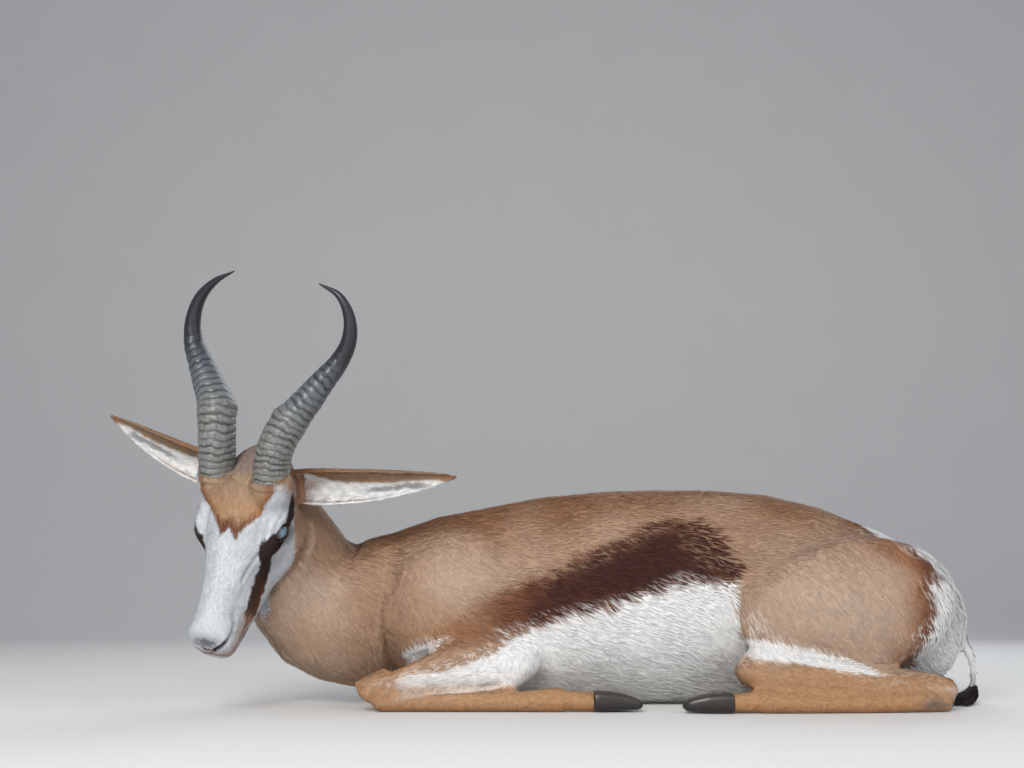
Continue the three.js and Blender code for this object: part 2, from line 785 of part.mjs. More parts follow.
function addTail() {
  const locks = Array.from({ length: TAIL_TUFT_LOCKS }, (unused, index) => tuftLock(index));
  const body = joined([tailDock(), ...locks]);
  const legs = [hindThigh(1, GAP), hindThigh(-1, GAP)];
  addNode(model, "tail", largest(aboveFloor(without(body, legs))), COLOURS.white);
}

addHead();
addNeck();
addTrunk();
addLegs();
addTail();

export default model;
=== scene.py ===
# A springbok ram at rest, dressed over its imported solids: one skin under a short coat of mesh tufts,
# ringed horns, eyes with lids and lashes, cloven hooves and a tufted tail.
# Sizes are millimetres, as in the solids, and turn into metres where a mesh is made.
import math

import bmesh
import bpy
import numpy as np
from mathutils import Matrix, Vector
from mathutils.bvhtree import BVHTree


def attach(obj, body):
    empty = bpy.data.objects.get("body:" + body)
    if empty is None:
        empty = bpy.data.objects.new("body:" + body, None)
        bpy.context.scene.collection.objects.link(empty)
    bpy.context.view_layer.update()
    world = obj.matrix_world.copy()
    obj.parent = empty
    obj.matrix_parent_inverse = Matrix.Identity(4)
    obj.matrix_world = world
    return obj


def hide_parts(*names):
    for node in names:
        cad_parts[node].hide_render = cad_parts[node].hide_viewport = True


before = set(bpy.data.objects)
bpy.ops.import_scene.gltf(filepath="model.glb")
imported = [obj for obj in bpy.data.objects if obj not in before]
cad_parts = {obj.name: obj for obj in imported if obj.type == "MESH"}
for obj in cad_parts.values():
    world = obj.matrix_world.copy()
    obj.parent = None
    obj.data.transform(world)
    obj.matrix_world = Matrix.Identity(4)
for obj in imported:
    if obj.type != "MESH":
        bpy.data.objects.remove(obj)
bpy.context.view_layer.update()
MM = 0.001
rng = np.random.default_rng(11)

# Camera and picture
CAMERA_PLACE = (-229.0, -1500.0, 128.0)
CAMERA_PITCH = 11.26
FOCAL_PIXELS = 1100.0
PICTURE_WIDTH = 1024
SENSOR_WIDTH = 36.0

# Sides: in the head's frame 1 is the animal's left, but on the body it is its right, where y is above 0
SIDES = (1, -1)
TAG = {1: "l", -1: "r"}

# Head, as in the solids
HEAD_NOSE = np.array([-590.0, -185.0, 80.0])
HEAD_YAW, HEAD_PITCH, HEAD_ROLL = 15.0, 70.0, 8.4
NOSE_AHEAD_OF_EYES = 142.0
EYE_RADIUS = 14.5
EYE_CENTRE = np.array([-5.0, 46.0, 8.0])
EYE_OPENING = (27.0, 15.5)
EYE_TILT = 1.2
LID_THICKNESS = 2.6

# Horns, as in the solids
HORN_BASE = np.array([-52.0, 36.0, 40.0])
HORN_FRONT = np.array([1.0, 0.0, 0.6])
HORN_WIDTH, HORN_DEPTH = 42.0, 46.0
HORN_RINGS = 22
HORN_RINGED_PART = 0.68
HORN_RING_HEIGHT = 1.9
HORN_LENGTH = 290.0
HORN_SUNK_PART = 0.008
HORN_GRID = ((640, 48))
HORN_RISE = {
    1: [0, 29, 56, 82, 107, 132, 157, 183, 211, 235, 247],
    -1: [0, 32, 62, 90, 114, 138, 163, 192, 220, 241, 255],
}
HORN_SPREAD = {
    1: [1, 1.5, 8, 19, 32, 45, 60, 71, 70, 56, 29],
    -1: [1, 3, 7, 17, 35, 53, 70, 75, 67, 45, 17],
}
HORN_LEAN = [0, 8, 12, 8.5, 3, -1.5, -3.5, 1.5, 8, 17, 22]
HORN_GIRTH = ([0, 0.27, 0.34, 0.42, 0.5, 0.6, 0.7, 0.8, 0.9, 1],
              [1, 1.03, 0.9, 0.8, 0.69, 0.56, 0.46, 0.36, 0.22, 0.05])

# Ears, as in the solids; a row of the leaf is a share of its length, then half its width and its depth
# as shares of EAR_WIDTH
EAR_ROOT = np.array([-70.0, 44.0, -2.0])
EAR_LENGTH = {1: 204.0, -1: 221.0}
EAR_WIDTH = 48.0
EAR_SWEEP = {1: 22.0, -1: 6.0}
EAR_LIFT = {1: 12.0, -1: 16.5}
EAR_SAG = {1: 5.0, -1: 7.0}
EAR_WALL = 4.2
EAR_FOLD = math.radians(112.0)
EAR_LEAF = np.array([
    (-0.08, 0.42, 0.36), (0.06, 0.49, 0.40), (0.25, 0.50, 0.36), (0.50, 0.44, 0.26),
    (0.75, 0.30, 0.16), (0.92, 0.14, 0.08), (1.00, 0.05, 0.04),
])

# Body, legs and tail, as in the solids; a row of a claw is a share of its length, the drop, half the
# width as a share of CLAW_WIDTH and half the height
BODY_ROLL = 20.0
ROLL_SHARE = ([-410, -320, -240, -140, -30, 80, 180, 260, 322, 368],
              [0, 0.1, 0.3, 0.6, 0.9, 1, 0.9, 0.7, 0.5, 0])
FORE_SPREAD, HIND_SPREAD = 100.0, 112.0
FORE_CREASE = (-236.0, 118.0, 27.0)
FORE_CREASE_RADIUS = 12.0
CLAW_LENGTH, CLAW_WIDTH = 52.0, 15.0
CLAW_ROWS = ((-0.16, 0, 0.42, 10.5), (0.0, 0, 0.49, 11.6), (0.4, -0.5, 0.49, 10.8),
             (0.8, -3, 0.36, 7.4), (1.0, -5.5, 0.15, 4.2))
TAIL_TUFT_PLACE = np.array([376.0, -10.0, 0.0])
TAIL_TUFT_LENGTH = 80.0

# Skin: the grids it is made on, the size of its mesh and its depth under the coat
VOXEL_BODY = 4.0
VOXEL_HEAD = 1.6
VOXEL_SKIN = 1.6
SKIN_TRIANGLES = 190000
UNWRAP_TRIANGLES = 5000
SPARSE_LEVELS, SPARSE_STRENGTH = 10, 6.0
SMOOTHING_ROUNDS = {"body": 34, "head": 22, "seams": 30, "all": 3}
SEAM_OVERLAP = 0.6
FLOOR_GAP = 0.4
COAT_DEPTH = {"head": 1.0, "ear": 0.5, "leg": 1.0, "body": 2.2}

# Coat and other hair; COAT holds for each part of the body the length and width of its tufts,
# the height of their tips and their number to a square centimetre
COAT_DENSITY = 0.9
TUFTS_IN_PIECE = 19000
TUFT_WIDENING = 1.0
TUFT_THICKNESS = 0.22
TUFT_TURN_LIMIT = 0.3
ROOT_DEPTH = 0.4
HAIR_FLOOR_GAP = 0.3
PATCH_SIZE = 0.003
COLLAR_HAIRS = 1400
COLLAR_DROP = 2.5
LASHES = 70
TAIL_LOCKS, LOCK_STRANDS = 10, 110
COAT = {
    "trunk": (13.0, 1.5, 2.0, 11.0),
    "neck": (13.0, 1.5, 2.2, 12.0),
    "belly": (18.0, 1.5, 3.4, 11.0),
    "rump": (20.0, 1.5, 3.6, 13.0),
    "upper_leg": (10.0, 1.3, 1.6, 13.0),
    "lower_leg": (7.0, 1.1, 1.1, 18.0),
    "cannon": (5.0, 0.9, 0.8, 26.0),
    "dock": (13.0, 1.2, 3.0, 26.0),
    "face": (4.2, 0.8, 0.7, 44.0),
    "skull": (6.5, 0.9, 1.2, 36.0),
    "muzzle": (2.6, 0.6, 0.4, 55.0),
    "ear": (6.0, 0.9, 1.0, 30.0),
}
COAT_SIZES = np.array(list(COAT.values())).T.copy()

# No hair grows this near to the eye's middle, the nostrils, the lips, a horn's middle and the floor
BARE_EYE, BARE_NOSTRIL, BARE_LIPS, BARE_HORN, BARE_FLOOR = 17.4, 2.8, 2.0, 19.0, 2.0

# Lines on the head and the body that the carving and the colours follow
NOSTRIL_LINE = [(125, 25, -9), (133, 23, -8), (138.5, 17, -11.5), (142, 9.5, -18), (144, 0, -22.5)]
MOUTH_LINE = [(92, 28, -29), (104, 28, -33), (118, 27, -34), (130, 23, -33), (140, 12, -31), (144, 0, -30)]
JAW_LINE = [
    (-485, -87, 235), (-484, -89, 217), (-485, -91, 199), (-492, -94, 179), (-500, -97, 163),
    (-515, -99, 150), (-529, -95, 135), (-540, -87, 121), (-546, -78, 107),
]
FOREARM_EDGE = ([-366, -339, -311, -281, -256, -230, -207], [40, 45, 47, 55, 68, 87, 96])
HAUNCH_TOP = [(196, 216), (219, 208), (240, 199), (266, 188)]
FACE_STRIPE = np.array([
    (-68, 46, 14, 2), (-58, 50, 11, 6), (-46, 53, 5, 12), (-32, 57, 0, 17), (-16, 60, 1, 15.5),
    (-2, 58, 5, 12.5), (12, 52, 11, 14), (21, 46, 6, 14), (30, 42, -6, 9.5), (38, 38, -15, 11),
    (54, 33, -21, 12.5), (75, 28, -28, 12.5), (90, 27, -30, 11), (103, 27, -32, 6),
])

# Carving of the skin: each row is a line, its width and its height, below 0 for a groove; the body's
# lines are places of x and z, the head's of x, y and z. A line of the muzzle may also name the axis
# that it is seen along, 0 from in front and 1 from the side
FACE_FORMS = [
    ([(-20, 0, 40), (60, 0, 26), (112, 0, 12)], 9, 1.4),
    ([(26, 38, 10), (36, 33, 9), (50, 30, 9), (62, 27, 7)], 3.0, -1.8),
    ([(50, 28, 0), (96, 26, -4)], 10, -1.6),
    ([(14, 49, -8), (48, 38, -16), (80, 30, -24)], 7, 1.8),
    ([(-20, 50, -44), (20, 42, -52), (52, 33, -50), (84, 24, -42)], 16, 5.0),
    ([(-10, 48, 30), (10, 48, 24)], 6, 1.8),
    ([(-32, 56, 16), (-16, 58, 27), (2, 56, 27), (12, 51, 20)], 2.6, -1.2),
    ([(-26, 60, 2), (-8, 62, -4), (8, 57, -4)], 2.4, -0.9),
    ([(100, 27, -3), (109, 28, -9), (122, 28, -12), (131, 27, -10)], 4, -1.8),
    ([(118, 0, 8), (128, 14, 2), (130, 22, -4)], 12, 1.6),
]
MUZZLE_FORMS = [
    (NOSTRIL_LINE[:3], 2.2, -3.4, 1),
    (NOSTRIL_LINE[1:4], 2.2, -4.6, 0),
    (NOSTRIL_LINE[3:], 1.2, -1.6, 0),
    ([(128, 22, -3), (137, 15, -6), (141, 7, -11)], 4, 1.6),
    ([(136, 0, 0), (143, 0, -14), (144, 0, -28)], 1.8, -0.9),
    (MOUTH_LINE[:4], 1.7, -2.6, 1),
    (MOUTH_LINE[3:], 1.5, -2.0, 0),
    ([(98, 28, -27), (118, 27, -27), (132, 23, -26), (141, 10, -24)], 4.5, 1.4),
    ([(108, 23, -43), (124, 18, -43), (134, 6, -42)], 6, 1.4),
]
BODY_FORMS = [
    ([(-373, 190), (-385, 138), (-388, 100), (-383, 62)], 7, -6.5),
    ([(-360, 184), (-367, 136), (-369, 100)], 11, 3.0),
    ([(-376, 50), (-352, 60), (-330, 70), (-308, 85), (-288, 91), (-262, 88)], 3.5, -4.0),
    ([(-310, 94), (-288, 100), (-258, 95)], 5, 2.2),
    ([(-350, 21), (-333, 24), (-274, 26), (-246, 30)], 2.6, -3.0),
    ([(-300, 150), (-262, 110), (-236, 96)], 22, 2.5),
    ([(-258, 190), (-246, 130), (-226, 96)], 9, -1.6),
    ([(44, 150), (52, 110), (44, 84)], 9, -3.5),
    ([(150, 232), (178, 236)], 22, 3.0),
    ([(262, 196), (232, 130), (214, 76)], 10, -1.6),
    ([(92, 88), (140, 78), (200, 66)], 4, -1.6),
    ([(110, 100), (160, 90), (215, 84)], 5, -1.0),
    ([(70, 74), (140, 62), (205, 50)], 4, -2.2),
    ([(252, 60), (284, 44), (310, 24)], 5, 1.6),
    ([(232, 45), (262, 37), (288, 20)], 4, -2.4),
    ([(-486, 150), (-483, 110), (-483, 84)], 4, -1.0),
    ([(-466, 168), (-462, 120)], 4, -0.8),
]

# Names of bones that are often asked for together
HEAD_BONES = ("muzzle", "face", "skull")
NECK_BONES = ("nape", "throat", "chest")
TRUNK_BONES = ("barrel", "withers", "croup")


def rgb(red, green, blue):
    """A colour given in the usual 0 to 255 values, as linear light."""
    value = np.array([red, green, blue]) / 255.0
    return np.where(value <= 0.04045, value / 12.92, ((value + 0.055) / 1.055) ** 2.4)


TAN = rgb(170, 137, 112)
NECK_TAN = rgb(164, 131, 106)
SADDLE = rgb(140, 100, 70)
PALE_TAN = rgb(190, 165, 145)
RUST = rgb(148, 96, 62)
RIM = rgb(108, 66, 44)
ORANGE = rgb(180, 138, 100)
WHITE = rgb(242, 241, 239)
# The face's white is the same hair as WHITE, painted darker and bluer: painted shade under sky light
SHADED_FACE_WHITE = rgb(210, 214, 219)
STRIPE = rgb(60, 29, 22)
STRIPE_EDGE = rgb(112, 68, 46)
FOREHEAD = rgb(168, 141, 115)
FOREHEAD_EDGE = rgb(146, 102, 72)
FOREHEAD_TIP = rgb(112, 72, 52)
POLL = rgb(146, 128, 118)
EYE_STRIPE = rgb(54, 40, 40)
LOWER_STRIPE = rgb(104, 64, 48)
GREY = rgb(124, 122, 124)
NOSE_PAD = rgb(104, 106, 112)
LIP = rgb(152, 116, 108)
NOSTRIL = rgb(62, 22, 22)
TUFT_DARK = rgb(42, 32, 29)
DARK_SKIN = rgb(36, 27, 25)
EAR_RIM = rgb(150, 122, 98)
EAR_ROOT_BROWN = rgb(140, 98, 68)


# Small maths

RIPPLE_WAVES = 7
SPLINE_STEPS = 400


def unit(vectors):
    vectors = np.asarray(vectors, float)
    return vectors / np.maximum(np.linalg.norm(vectors, axis=-1, keepdims=True), 1e-9)


def square_to(direction, axis):
    """The part of a direction that stands square to an axis, at length 1."""
    return unit(direction - (axis @ direction)[..., None] * axis)


def bounded(value):
    return np.clip(value, 0.0, 1.0)


def ramp(low, high, value):
    """0 at low and below, 1 at high and above, smooth between."""
    share = bounded((value - low) / (high - low))
    return share * share * (3.0 - 2.0 * share)


def spot(*terms):
    """1 in the middle of a soft spot and 0 far away; each term is a value, its middle and its reach."""
    return np.exp(-sum(((value - middle) / reach) ** 2 for value, middle, reach in terms))


def mixed(first, second, share):
    return first + (second - first) * np.asarray(share)[..., None]


def layered(colour, *layers):
    """A colour with others laid over it in turn, each by its own share."""
    for tone, share in layers:
        colour = mixed(colour, tone, share)
    return colour


def ripple(points, size, seed):
    """Smooth noise between about -1 and 1, whose bumps are about size across."""
    draw = np.random.default_rng(seed)
    total = np.zeros(len(points))
    for _ in range(RIPPLE_WAVES):
        wave = unit(draw.normal(size=3)) * (2.0 * math.pi / (size * draw.uniform(0.7, 1.6)))
        total += np.sin(points @ wave + draw.uniform(0.0, 6.28))
    return total / 2.6


def spline(points, count, even=False):
    """Count points on a centripetal Catmull-Rom curve, the same curve as the solids'."""
    points = np.asarray(points, float)
    padded = np.vstack([2 * points[0] - points[1], points, 2 * points[-1] - points[-2]])
    steps = len(points) - 1
    place = np.linspace(0.0, steps, SPLINE_STEPS if even else count)
    index = np.minimum(place.astype(int), steps - 1)
    share = (place - index)[:, None]
    p0, p1, p2, p3 = (padded[index + k] for k in range(4))
    gap = [np.maximum(np.linalg.norm(b - a, axis=1, keepdims=True), 1e-6) ** 0.5
           for a, b in ((p0, p1), (p1, p2), (p2, p3))]
    out = ((p1 - p0) / gap[0] - (p2 - p0) / (gap[0] + gap[1]) + (p2 - p1) / gap[1]) * gap[1]
    back = ((p2 - p1) / gap[1] - (p3 - p1) / (gap[1] + gap[2]) + (p3 - p2) / gap[2]) * gap[1]
    cubic = 2 * p1 - 2 * p2 + out + back
    square = -3 * p1 + 3 * p2 - 2 * out - back
    curve = p1 + out * share + square * share**2 + cubic * share**3
    if not even:
        return curve
    walk = np.concatenate([[0.0], np.cumsum(np.linalg.norm(np.diff(curve, axis=0), axis=1))])
    target = np.linspace(0.0, walk[-1], count)
    return np.stack([np.interp(target, walk, curve[:, k]) for k in range(3)], axis=1)


def to_path(points, path):
    """For each point its distance to a path of straight pieces, and its place along it from 0 to 1."""
    path = np.asarray(path, float)
    best = np.full(len(points), 1e9)
    place = np.zeros(len(points))
    for k in range(len(path) - 1):
        step = path[k + 1] - path[k]
        share = bounded((points - path[k]) @ step / (step @ step))
        gap = np.linalg.norm(points - path[k] - share[:, None] * step, axis=1)
        nearer = gap < best
        best = np.where(nearer, gap, best)
        place = np.where(nearer, (k + share) / (len(path) - 1), place)
    return best, place


# The head's own frame: x down the face from the eye line, y to the animal's left, z out of the forehead

def head_axes():
    yaw, pitch, roll = (math.radians(a) for a in (HEAD_YAW, HEAD_PITCH, HEAD_ROLL))
    facing = np.array([-math.sin(yaw), -math.cos(yaw), 0.0])
    level = np.array([math.cos(yaw), -math.sin(yaw), 0.0])
    upright = np.array([0.0, 0.0, 1.0])
    left = level * math.cos(roll) - upright * math.sin(roll)
    crown = upright * math.cos(roll) + level * math.sin(roll)
    down = facing * math.cos(pitch) - crown * math.sin(pitch)
    out = facing * math.sin(pitch) + crown * math.cos(pitch)
    return np.stack([down, left, out], axis=1)


HEAD_AXES = head_axes()
HEAD_ORIGIN = HEAD_NOSE - HEAD_AXES[:, 0] * NOSE_AHEAD_OF_EYES


def from_head(points):
    return HEAD_ORIGIN + np.asarray(points, float) @ HEAD_AXES.T


def to_head(points):
    return (np.asarray(points, float) - HEAD_ORIGIN) @ HEAD_AXES


def head_paths(*steps):
    """Paths for blades of hair, whose root, middle and tip are given in the head's frame."""
    places = np.stack(steps, axis=1)
    return from_head(places.reshape(-1, 3)).reshape(places.shape)


def sided(point, side):
    return np.array([point[0], point[1] * side, point[2]], float)


def folded(place):
    """Points of the head's frame, all brought to its left side."""
    return np.column_stack([place[:, 0], np.abs(place[:, 1]), place[:, 2]])


# Meshes

def linked(name, data):
    """A new object in the scene with the given data."""
    made = bpy.data.objects.new(name, data)
    bpy.context.scene.collection.objects.link(made)
    return made


def add_object(name, points, faces, colours=None):
    """A smooth mesh object from points in millimetres; faces are lists or an array of index rows."""
    mesh = bpy.data.meshes.new(name)
    faces = faces if isinstance(faces, list) else faces.tolist()
    mesh.from_pydata((np.asarray(points) * MM).tolist(), [], faces)
    mesh.update()
    mesh.polygons.foreach_set("use_smooth", np.ones(len(mesh.polygons), bool))
    if colours is not None:
        set_colours(mesh, colours)
    return linked(name, mesh)


def set_colours(mesh, colours):
    layer = mesh.color_attributes.new("coat", "FLOAT_COLOR", "POINT")
    values = np.ones((len(mesh.vertices), 4), np.float32)
    values[:, :3] = colours
    layer.data.foreach_set("color", values.ravel())


def field_of(items, field, width, kind=np.float32):
    """One field of all items of a mesh, as rows of the given width."""
    values = np.zeros(len(items) * width, kind)
    items.foreach_get(field, values)
    return values.reshape(-1, width)


def mesh_points(mesh):
    return field_of(mesh.vertices, "co", 3).astype(float) / MM


def mesh_normals(mesh):
    return field_of(mesh.vertex_normals, "vector", 3).astype(float)


def ring_quads(count, sides, looped=False):
    """Faces between rings of points; looped joins the last ring to the first as well."""
    row, col = np.meshgrid(np.arange(count if looped else count - 1), np.arange(sides), indexing="ij")
    ring, ahead = row * sides, (row + 1) % count * sides
    after = (col + 1) % sides
    return np.stack([ring + col, ring + after, ahead + after, ahead + col], axis=-1).reshape(-1, 4)


def closed_rings(rings):
    """A closed surface over rings of points, given as (count, sides, 3), with flat ends."""
    count, sides = rings.shape[:2]
    caps = [list(range(sides))[::-1], list(range((count - 1) * sides, count * sides))]
    return rings.reshape(-1, 3), ring_quads(count, sides).tolist() + caps


def tube(path, wide, high, up, sides, power):
    """A closed tube whose sections are superellipses of half width wide and half height high."""
    tangent = unit(np.gradient(path, axis=0))
    lift = np.broadcast_to(np.asarray(up, float), path.shape)
    lift = unit(lift - (lift * tangent).sum(1, keepdims=True) * tangent)
    across = np.cross(tangent, lift)
    angle = np.linspace(0.0, 2.0 * math.pi, sides, endpoint=False)
    c, s = (np.sign(wave) * np.abs(wave) ** (2.0 / power) for wave in (np.cos(angle), np.sin(angle)))
    rings = path[:, None] + across[:, None] * (wide[:, None] * c)[..., None]
    rings = rings + lift[:, None] * (high[:, None] * s)[..., None]
    return closed_rings(rings)


def lofted(stations, count, sides, up=(0, 0, 1), ends=(0.1, 0.1), power=2.0):
    """A tube through stations of (x, y, z, half width, half height), rounded off at its ends."""
    table = np.asarray(stations, float)
    path = spline(table[:, :3], count)
    size = spline(np.column_stack([table[:, 3:5], np.zeros(len(table))]), count)
    t = np.linspace(0.0, 1.0, count)
    cap = np.ones(count)
    for share, into in ((ends[0], t), (ends[1], 1.0 - t)):
        if share > 0:
            cap *= np.sqrt(np.clip(1.0 - bounded(1.0 - into / share) ** 2, 0.001, 1.0))
    return tube(path, size[:, 0] * cap, size[:, 1] * cap, up, sides, power)


def node_form(name, grow):
    """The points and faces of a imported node, in millimetres, grown along its normals."""
    work = bmesh.new()
    work.from_mesh(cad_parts[name].data)
    bmesh.ops.remove_doubles(work, verts=work.verts, dist=1e-6)
    work.normal_update()
    points = np.array([(v.co / MM + v.normal * grow)[:] for v in work.verts])
    faces = [[v.index for v in f.verts] for f in work.faces]
    work.free()
    return points, faces


def ball_form(centre, radius, sides=32):
    work = bmesh.new()
    bmesh.ops.create_uvsphere(work, u_segments=sides, v_segments=sides // 2, radius=radius)
    points = np.array([v.co[:] for v in work.verts]) + centre
    faces = [[v.index for v in f.verts] for f in work.faces]
    work.free()
    return points, faces


def taken(source):
    """The mesh of an object with its modifiers applied; the object itself is removed."""
    graph = bpy.context.evaluated_depsgraph_get()
    mesh = bpy.data.meshes.new_from_object(source.evaluated_get(graph))
    bpy.data.objects.remove(source)
    return mesh


def remeshed(forms, voxel):
    """One closed surface round several forms: its points and its four-cornered faces."""
    points, faces, offset = [], [], 0
    for form_points, form_faces in forms:
        points.append(form_points)
        faces += [[i + offset for i in face] for face in form_faces]
        offset += len(form_points)
    lump = add_object("lump", np.vstack(points), faces)
    change = lump.modifiers.new("remesh", "REMESH")
    change.mode = "VOXEL"
    change.voxel_size = voxel * MM
    mesh = taken(lump)
    made = mesh_points(mesh), field_of(mesh.loops, "vertex_index", 1, np.int32).reshape(-1, 4)
    bpy.data.meshes.remove(mesh)
    return made


def decimated(source, triangles, total, group=""):
    """The mesh of an object with fewer triangles, sparser where its vertex group is high."""
    change = source.modifiers.new("reduce", "DECIMATE")
    change.ratio = min(1.0, triangles / total)
    change.vertex_group = group
    change.vertex_group_factor = SPARSE_STRENGTH
    return taken(source)


def neighbours(quads, count):
    """Each point's neighbours in one sorted list, and where each point's share of it starts."""
    pairs = np.vstack([quads[:, [k, (k + 1) % 4]] for k in range(4)])
    pairs = np.vstack([pairs, pairs[:, ::-1]])
    pairs = pairs[np.argsort(pairs[:, 0], kind="stable")]
    starts = np.searchsorted(pairs[:, 0], np.arange(count))
    return pairs[:, 1], starts, np.diff(np.append(starts, len(pairs)))


def relaxed(points, links, weight, rounds):
    """Points moved towards the mean of their neighbours, where weight is above 0."""
    near, starts, sizes = links
    strength = (0.5 * np.asarray(weight))[:, None]
    for _ in range(rounds):
        mean = np.add.reduceat(points[near], starts, axis=0) / sizes[:, None]
        points = points + (mean - points) * strength
    return points


def normals_of(points, quads):
    first = points[quads[:, 2]] - points[quads[:, 0]]
    second = points[quads[:, 3]] - points[quads[:, 1]]
    flat = np.cross(first, second)
    total = np.zeros_like(points)
    for axis in range(3):
        for corner in range(4):
            total[:, axis] += np.bincount(quads[:, corner], flat[:, axis], len(points))
    return unit(total)


# Bones: each lies inside a part of the body, points the way its hair lies and has that part's half width

def leg_bones(side):
    """The bones of the legs at one side of the body."""
    fore, hind = FORE_SPREAD * side, HIND_SPREAD * side
    tag = TAG[-side]
    return {
        f"blade_{tag}": ([-262, fore * 0.6, 222], [-340, fore * 0.82, 120], 44, [0.5, 0, -0.9]),
        f"arm_{tag}": ([-350, fore * 0.9, 104], [-210, fore, 70], 34, [0.95, 0, -0.35]),
        f"forearm_{tag}": ([-200, fore * 1.05, 56], [-385, fore * 1.24, 32], 21, None),
        f"knee_{tag}": ([-385, fore * 1.24, 32], [-408, fore * 1.25, 18], 15, [-0.6, 0, -0.8]),
        f"fore_cannon_{tag}": ([-398, fore * 1.27, 13], [-170, fore * 1.3, 12], 12, None),
        f"fore_pastern_{tag}": ([-170, fore * 1.3, 12], [-100, fore * 1.28, 12], 12, None),
        f"hip_{tag}": ([225, hind * 0.62, 205], [268, hind * 0.78, 90], 52, [0.45, 0, -0.9]),
        f"thigh_{tag}": ([215, hind * 0.88, 130], [70, hind * 1.04, 92], 46, [0.55, 0, -0.8]),
        f"gaskin_{tag}": ([45, hind * 1.08, 50], [312, hind * 1.04, 22], 19, None),
        f"hind_cannon_{tag}": ([306, hind * 1.1, 13], [66, hind * 1.32, 12], 12, None),
        f"hind_pastern_{tag}": ([66, hind * 1.32, 12], [4, hind * 1.3, 12], 12, None),
    }


def ear_line(side):
    """The ear's direction and the way its cup opens, in the head's frame."""
    pitch = math.radians(HEAD_PITCH)
    sweep, lift = math.radians(EAR_SWEEP[side]), math.radians(EAR_LIFT[side])
    out = math.cos(sweep) * math.cos(lift) * side
    back, rise = math.sin(sweep) * math.cos(lift), math.sin(lift)
    along = np.array([
        -rise * math.sin(pitch) - back * math.cos(pitch),
        out,
        rise * math.cos(pitch) - back * math.sin(pitch),
    ])
    return along, square_to(np.array([math.cos(pitch) + 0.55, 0.25 * side, math.sin(pitch)]), along)


def ear_middle(side, share):
    """The middle of the ear at shares of its length, in the head's frame; it sags a little."""
    share = np.atleast_1d(share)[:, None]
    sag = EAR_SAG[side] * np.sin(math.pi * bounded(share)) * np.array([1.0, 0.0, 0.0])
    return sided(EAR_ROOT, side) + ear_line(side)[0] * share * EAR_LENGTH[side] + sag


def build_bones():
    bones = {
        "muzzle": (from_head([140, 0, -20]), from_head([70, 0, -22]), 26, None),
        "face": (from_head([70, 0, -22]), from_head([-10, 0, -16]), 44, None),
        "skull": (from_head([-10, 0, -16]), from_head([-105, 0, -10]), 44, None),
        "nape": ([-530, -84, 250], [-506, -36, 182], 48, None),
        "throat": ([-506, -36, 182], [-470, -18, 132], 66, [0.55, 0.1, -0.8]),
        "chest": ([-470, -18, 132], [-395, 0, 118], 84, [0.6, 0, -0.75]),
        "withers": ([-395, 0, 150], [-250, 0, 160], 84, [1, 0, -0.18]),
        "barrel": ([-250, 0, 136], [170, 6, 136], 110, [1, 0, -0.12]),
        "croup": ([170, 6, 136], [300, 8, 110], 92, [0.9, 0, -0.4]),
        "rump": ([300, 8, 110], [352, 8, 76], 60, [0.35, 0, -1]),
        "dock": ([336, 10, 140], [384, 2, 50], 8, None),
        "tail_end": ([384, 2, 50], [366, -16, 12], 8, None),
    }
    for side, tag in TAG.items():
        ends = from_head(ear_middle(side, [0.12, 1.0]))
        bones[f"ear_{tag}"] = (ends[0], ends[1], 14, None)
        bones.update(leg_bones(side))
    return bones


BONES = build_bones()


def bone_gaps(points):
    """The distance of each point from each bone, less that bone's half width."""
    gaps = np.zeros((len(points), len(BONES)))
    for k, (start, end, radius, _) in enumerate(BONES.values()):
        gaps[:, k] = to_path(points, [start, end])[0] - radius
    return np.maximum(gaps, 0.5 + 0.02 * (gaps + 200.0))


def bone_mask(gaps, *words):
    """How far each point belongs to the bones whose names hold one of the words, from 0 to 1."""
    near = 1.0 / gaps**3
    chosen = [k for k, name in enumerate(BONES) if any(word in name for word in words)]
    return near[:, chosen].sum(1) / near.sum(1)


def hair_direction(points, normals, gaps):
    """Which way the coat lies, along the surface."""
    flow = np.zeros_like(points)
    near = 1.0 / gaps**3
    for k, (start, end, _, given) in enumerate(BONES.values()):
        way = unit(np.asarray(end, float) - start) if given is None else unit(given)
        flow += near[:, k:k + 1] * way
    flow = unit(flow)
    flow[:, 2] -= 0.35 * bone_mask(gaps, *TRUNK_BONES) * (1.0 - np.abs(normals[:, 2]))
    flow -= (flow * normals).sum(1, keepdims=True) * normals
    return unit(flow)


# Skin

FLESH = [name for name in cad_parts
         if not name.startswith(("eye", "horn")) and "claw" not in name]


def dock_form():
    """The tail's fleshy part, as in the solids."""
    stations = [
        (330, 10, 146, 15, 12),
        (352, 10, 122, 12, 10),
        (370, 8, 92, 10, 9),
        (380, 4, 58, 9, 8),
        (378, -4, 30, 8, 8),
        (366, -16, 12, 7, 7),
    ]
    return lofted(stations, 30, 16, up=(0, 1, 0))


def ear_form(side):
    """An ear as one closed crescent-shaped shell: a leaf outside and its hollow inside."""
    along, opening = ear_line(side)
    t = np.linspace(-0.08, 1.0, 64)
    wide, deep = (np.interp(t, EAR_LEAF[:, 0], EAR_LEAF[:, k]) * EAR_WIDTH for k in (1, 2))
    for size in (wide, deep):
        size[3:-3] = np.convolve(size, np.ones(7) / 7, "valid")
    wall = np.minimum(EAR_WALL, 0.45 * deep + 0.6)
    middle = ear_middle(side, t)
    across = unit(np.cross(along, opening))
    turn = np.linspace(-EAR_FOLD, EAR_FOLD, 24)
    outer = leaf_ring(middle, across, opening, wide, deep, turn)
    inner = leaf_ring(middle, across, opening, wide - wall, deep - wall, turn[::-1] * 0.96)
    points, faces = closed_rings(np.concatenate([outer, inner], axis=1))
    return from_head(points), faces


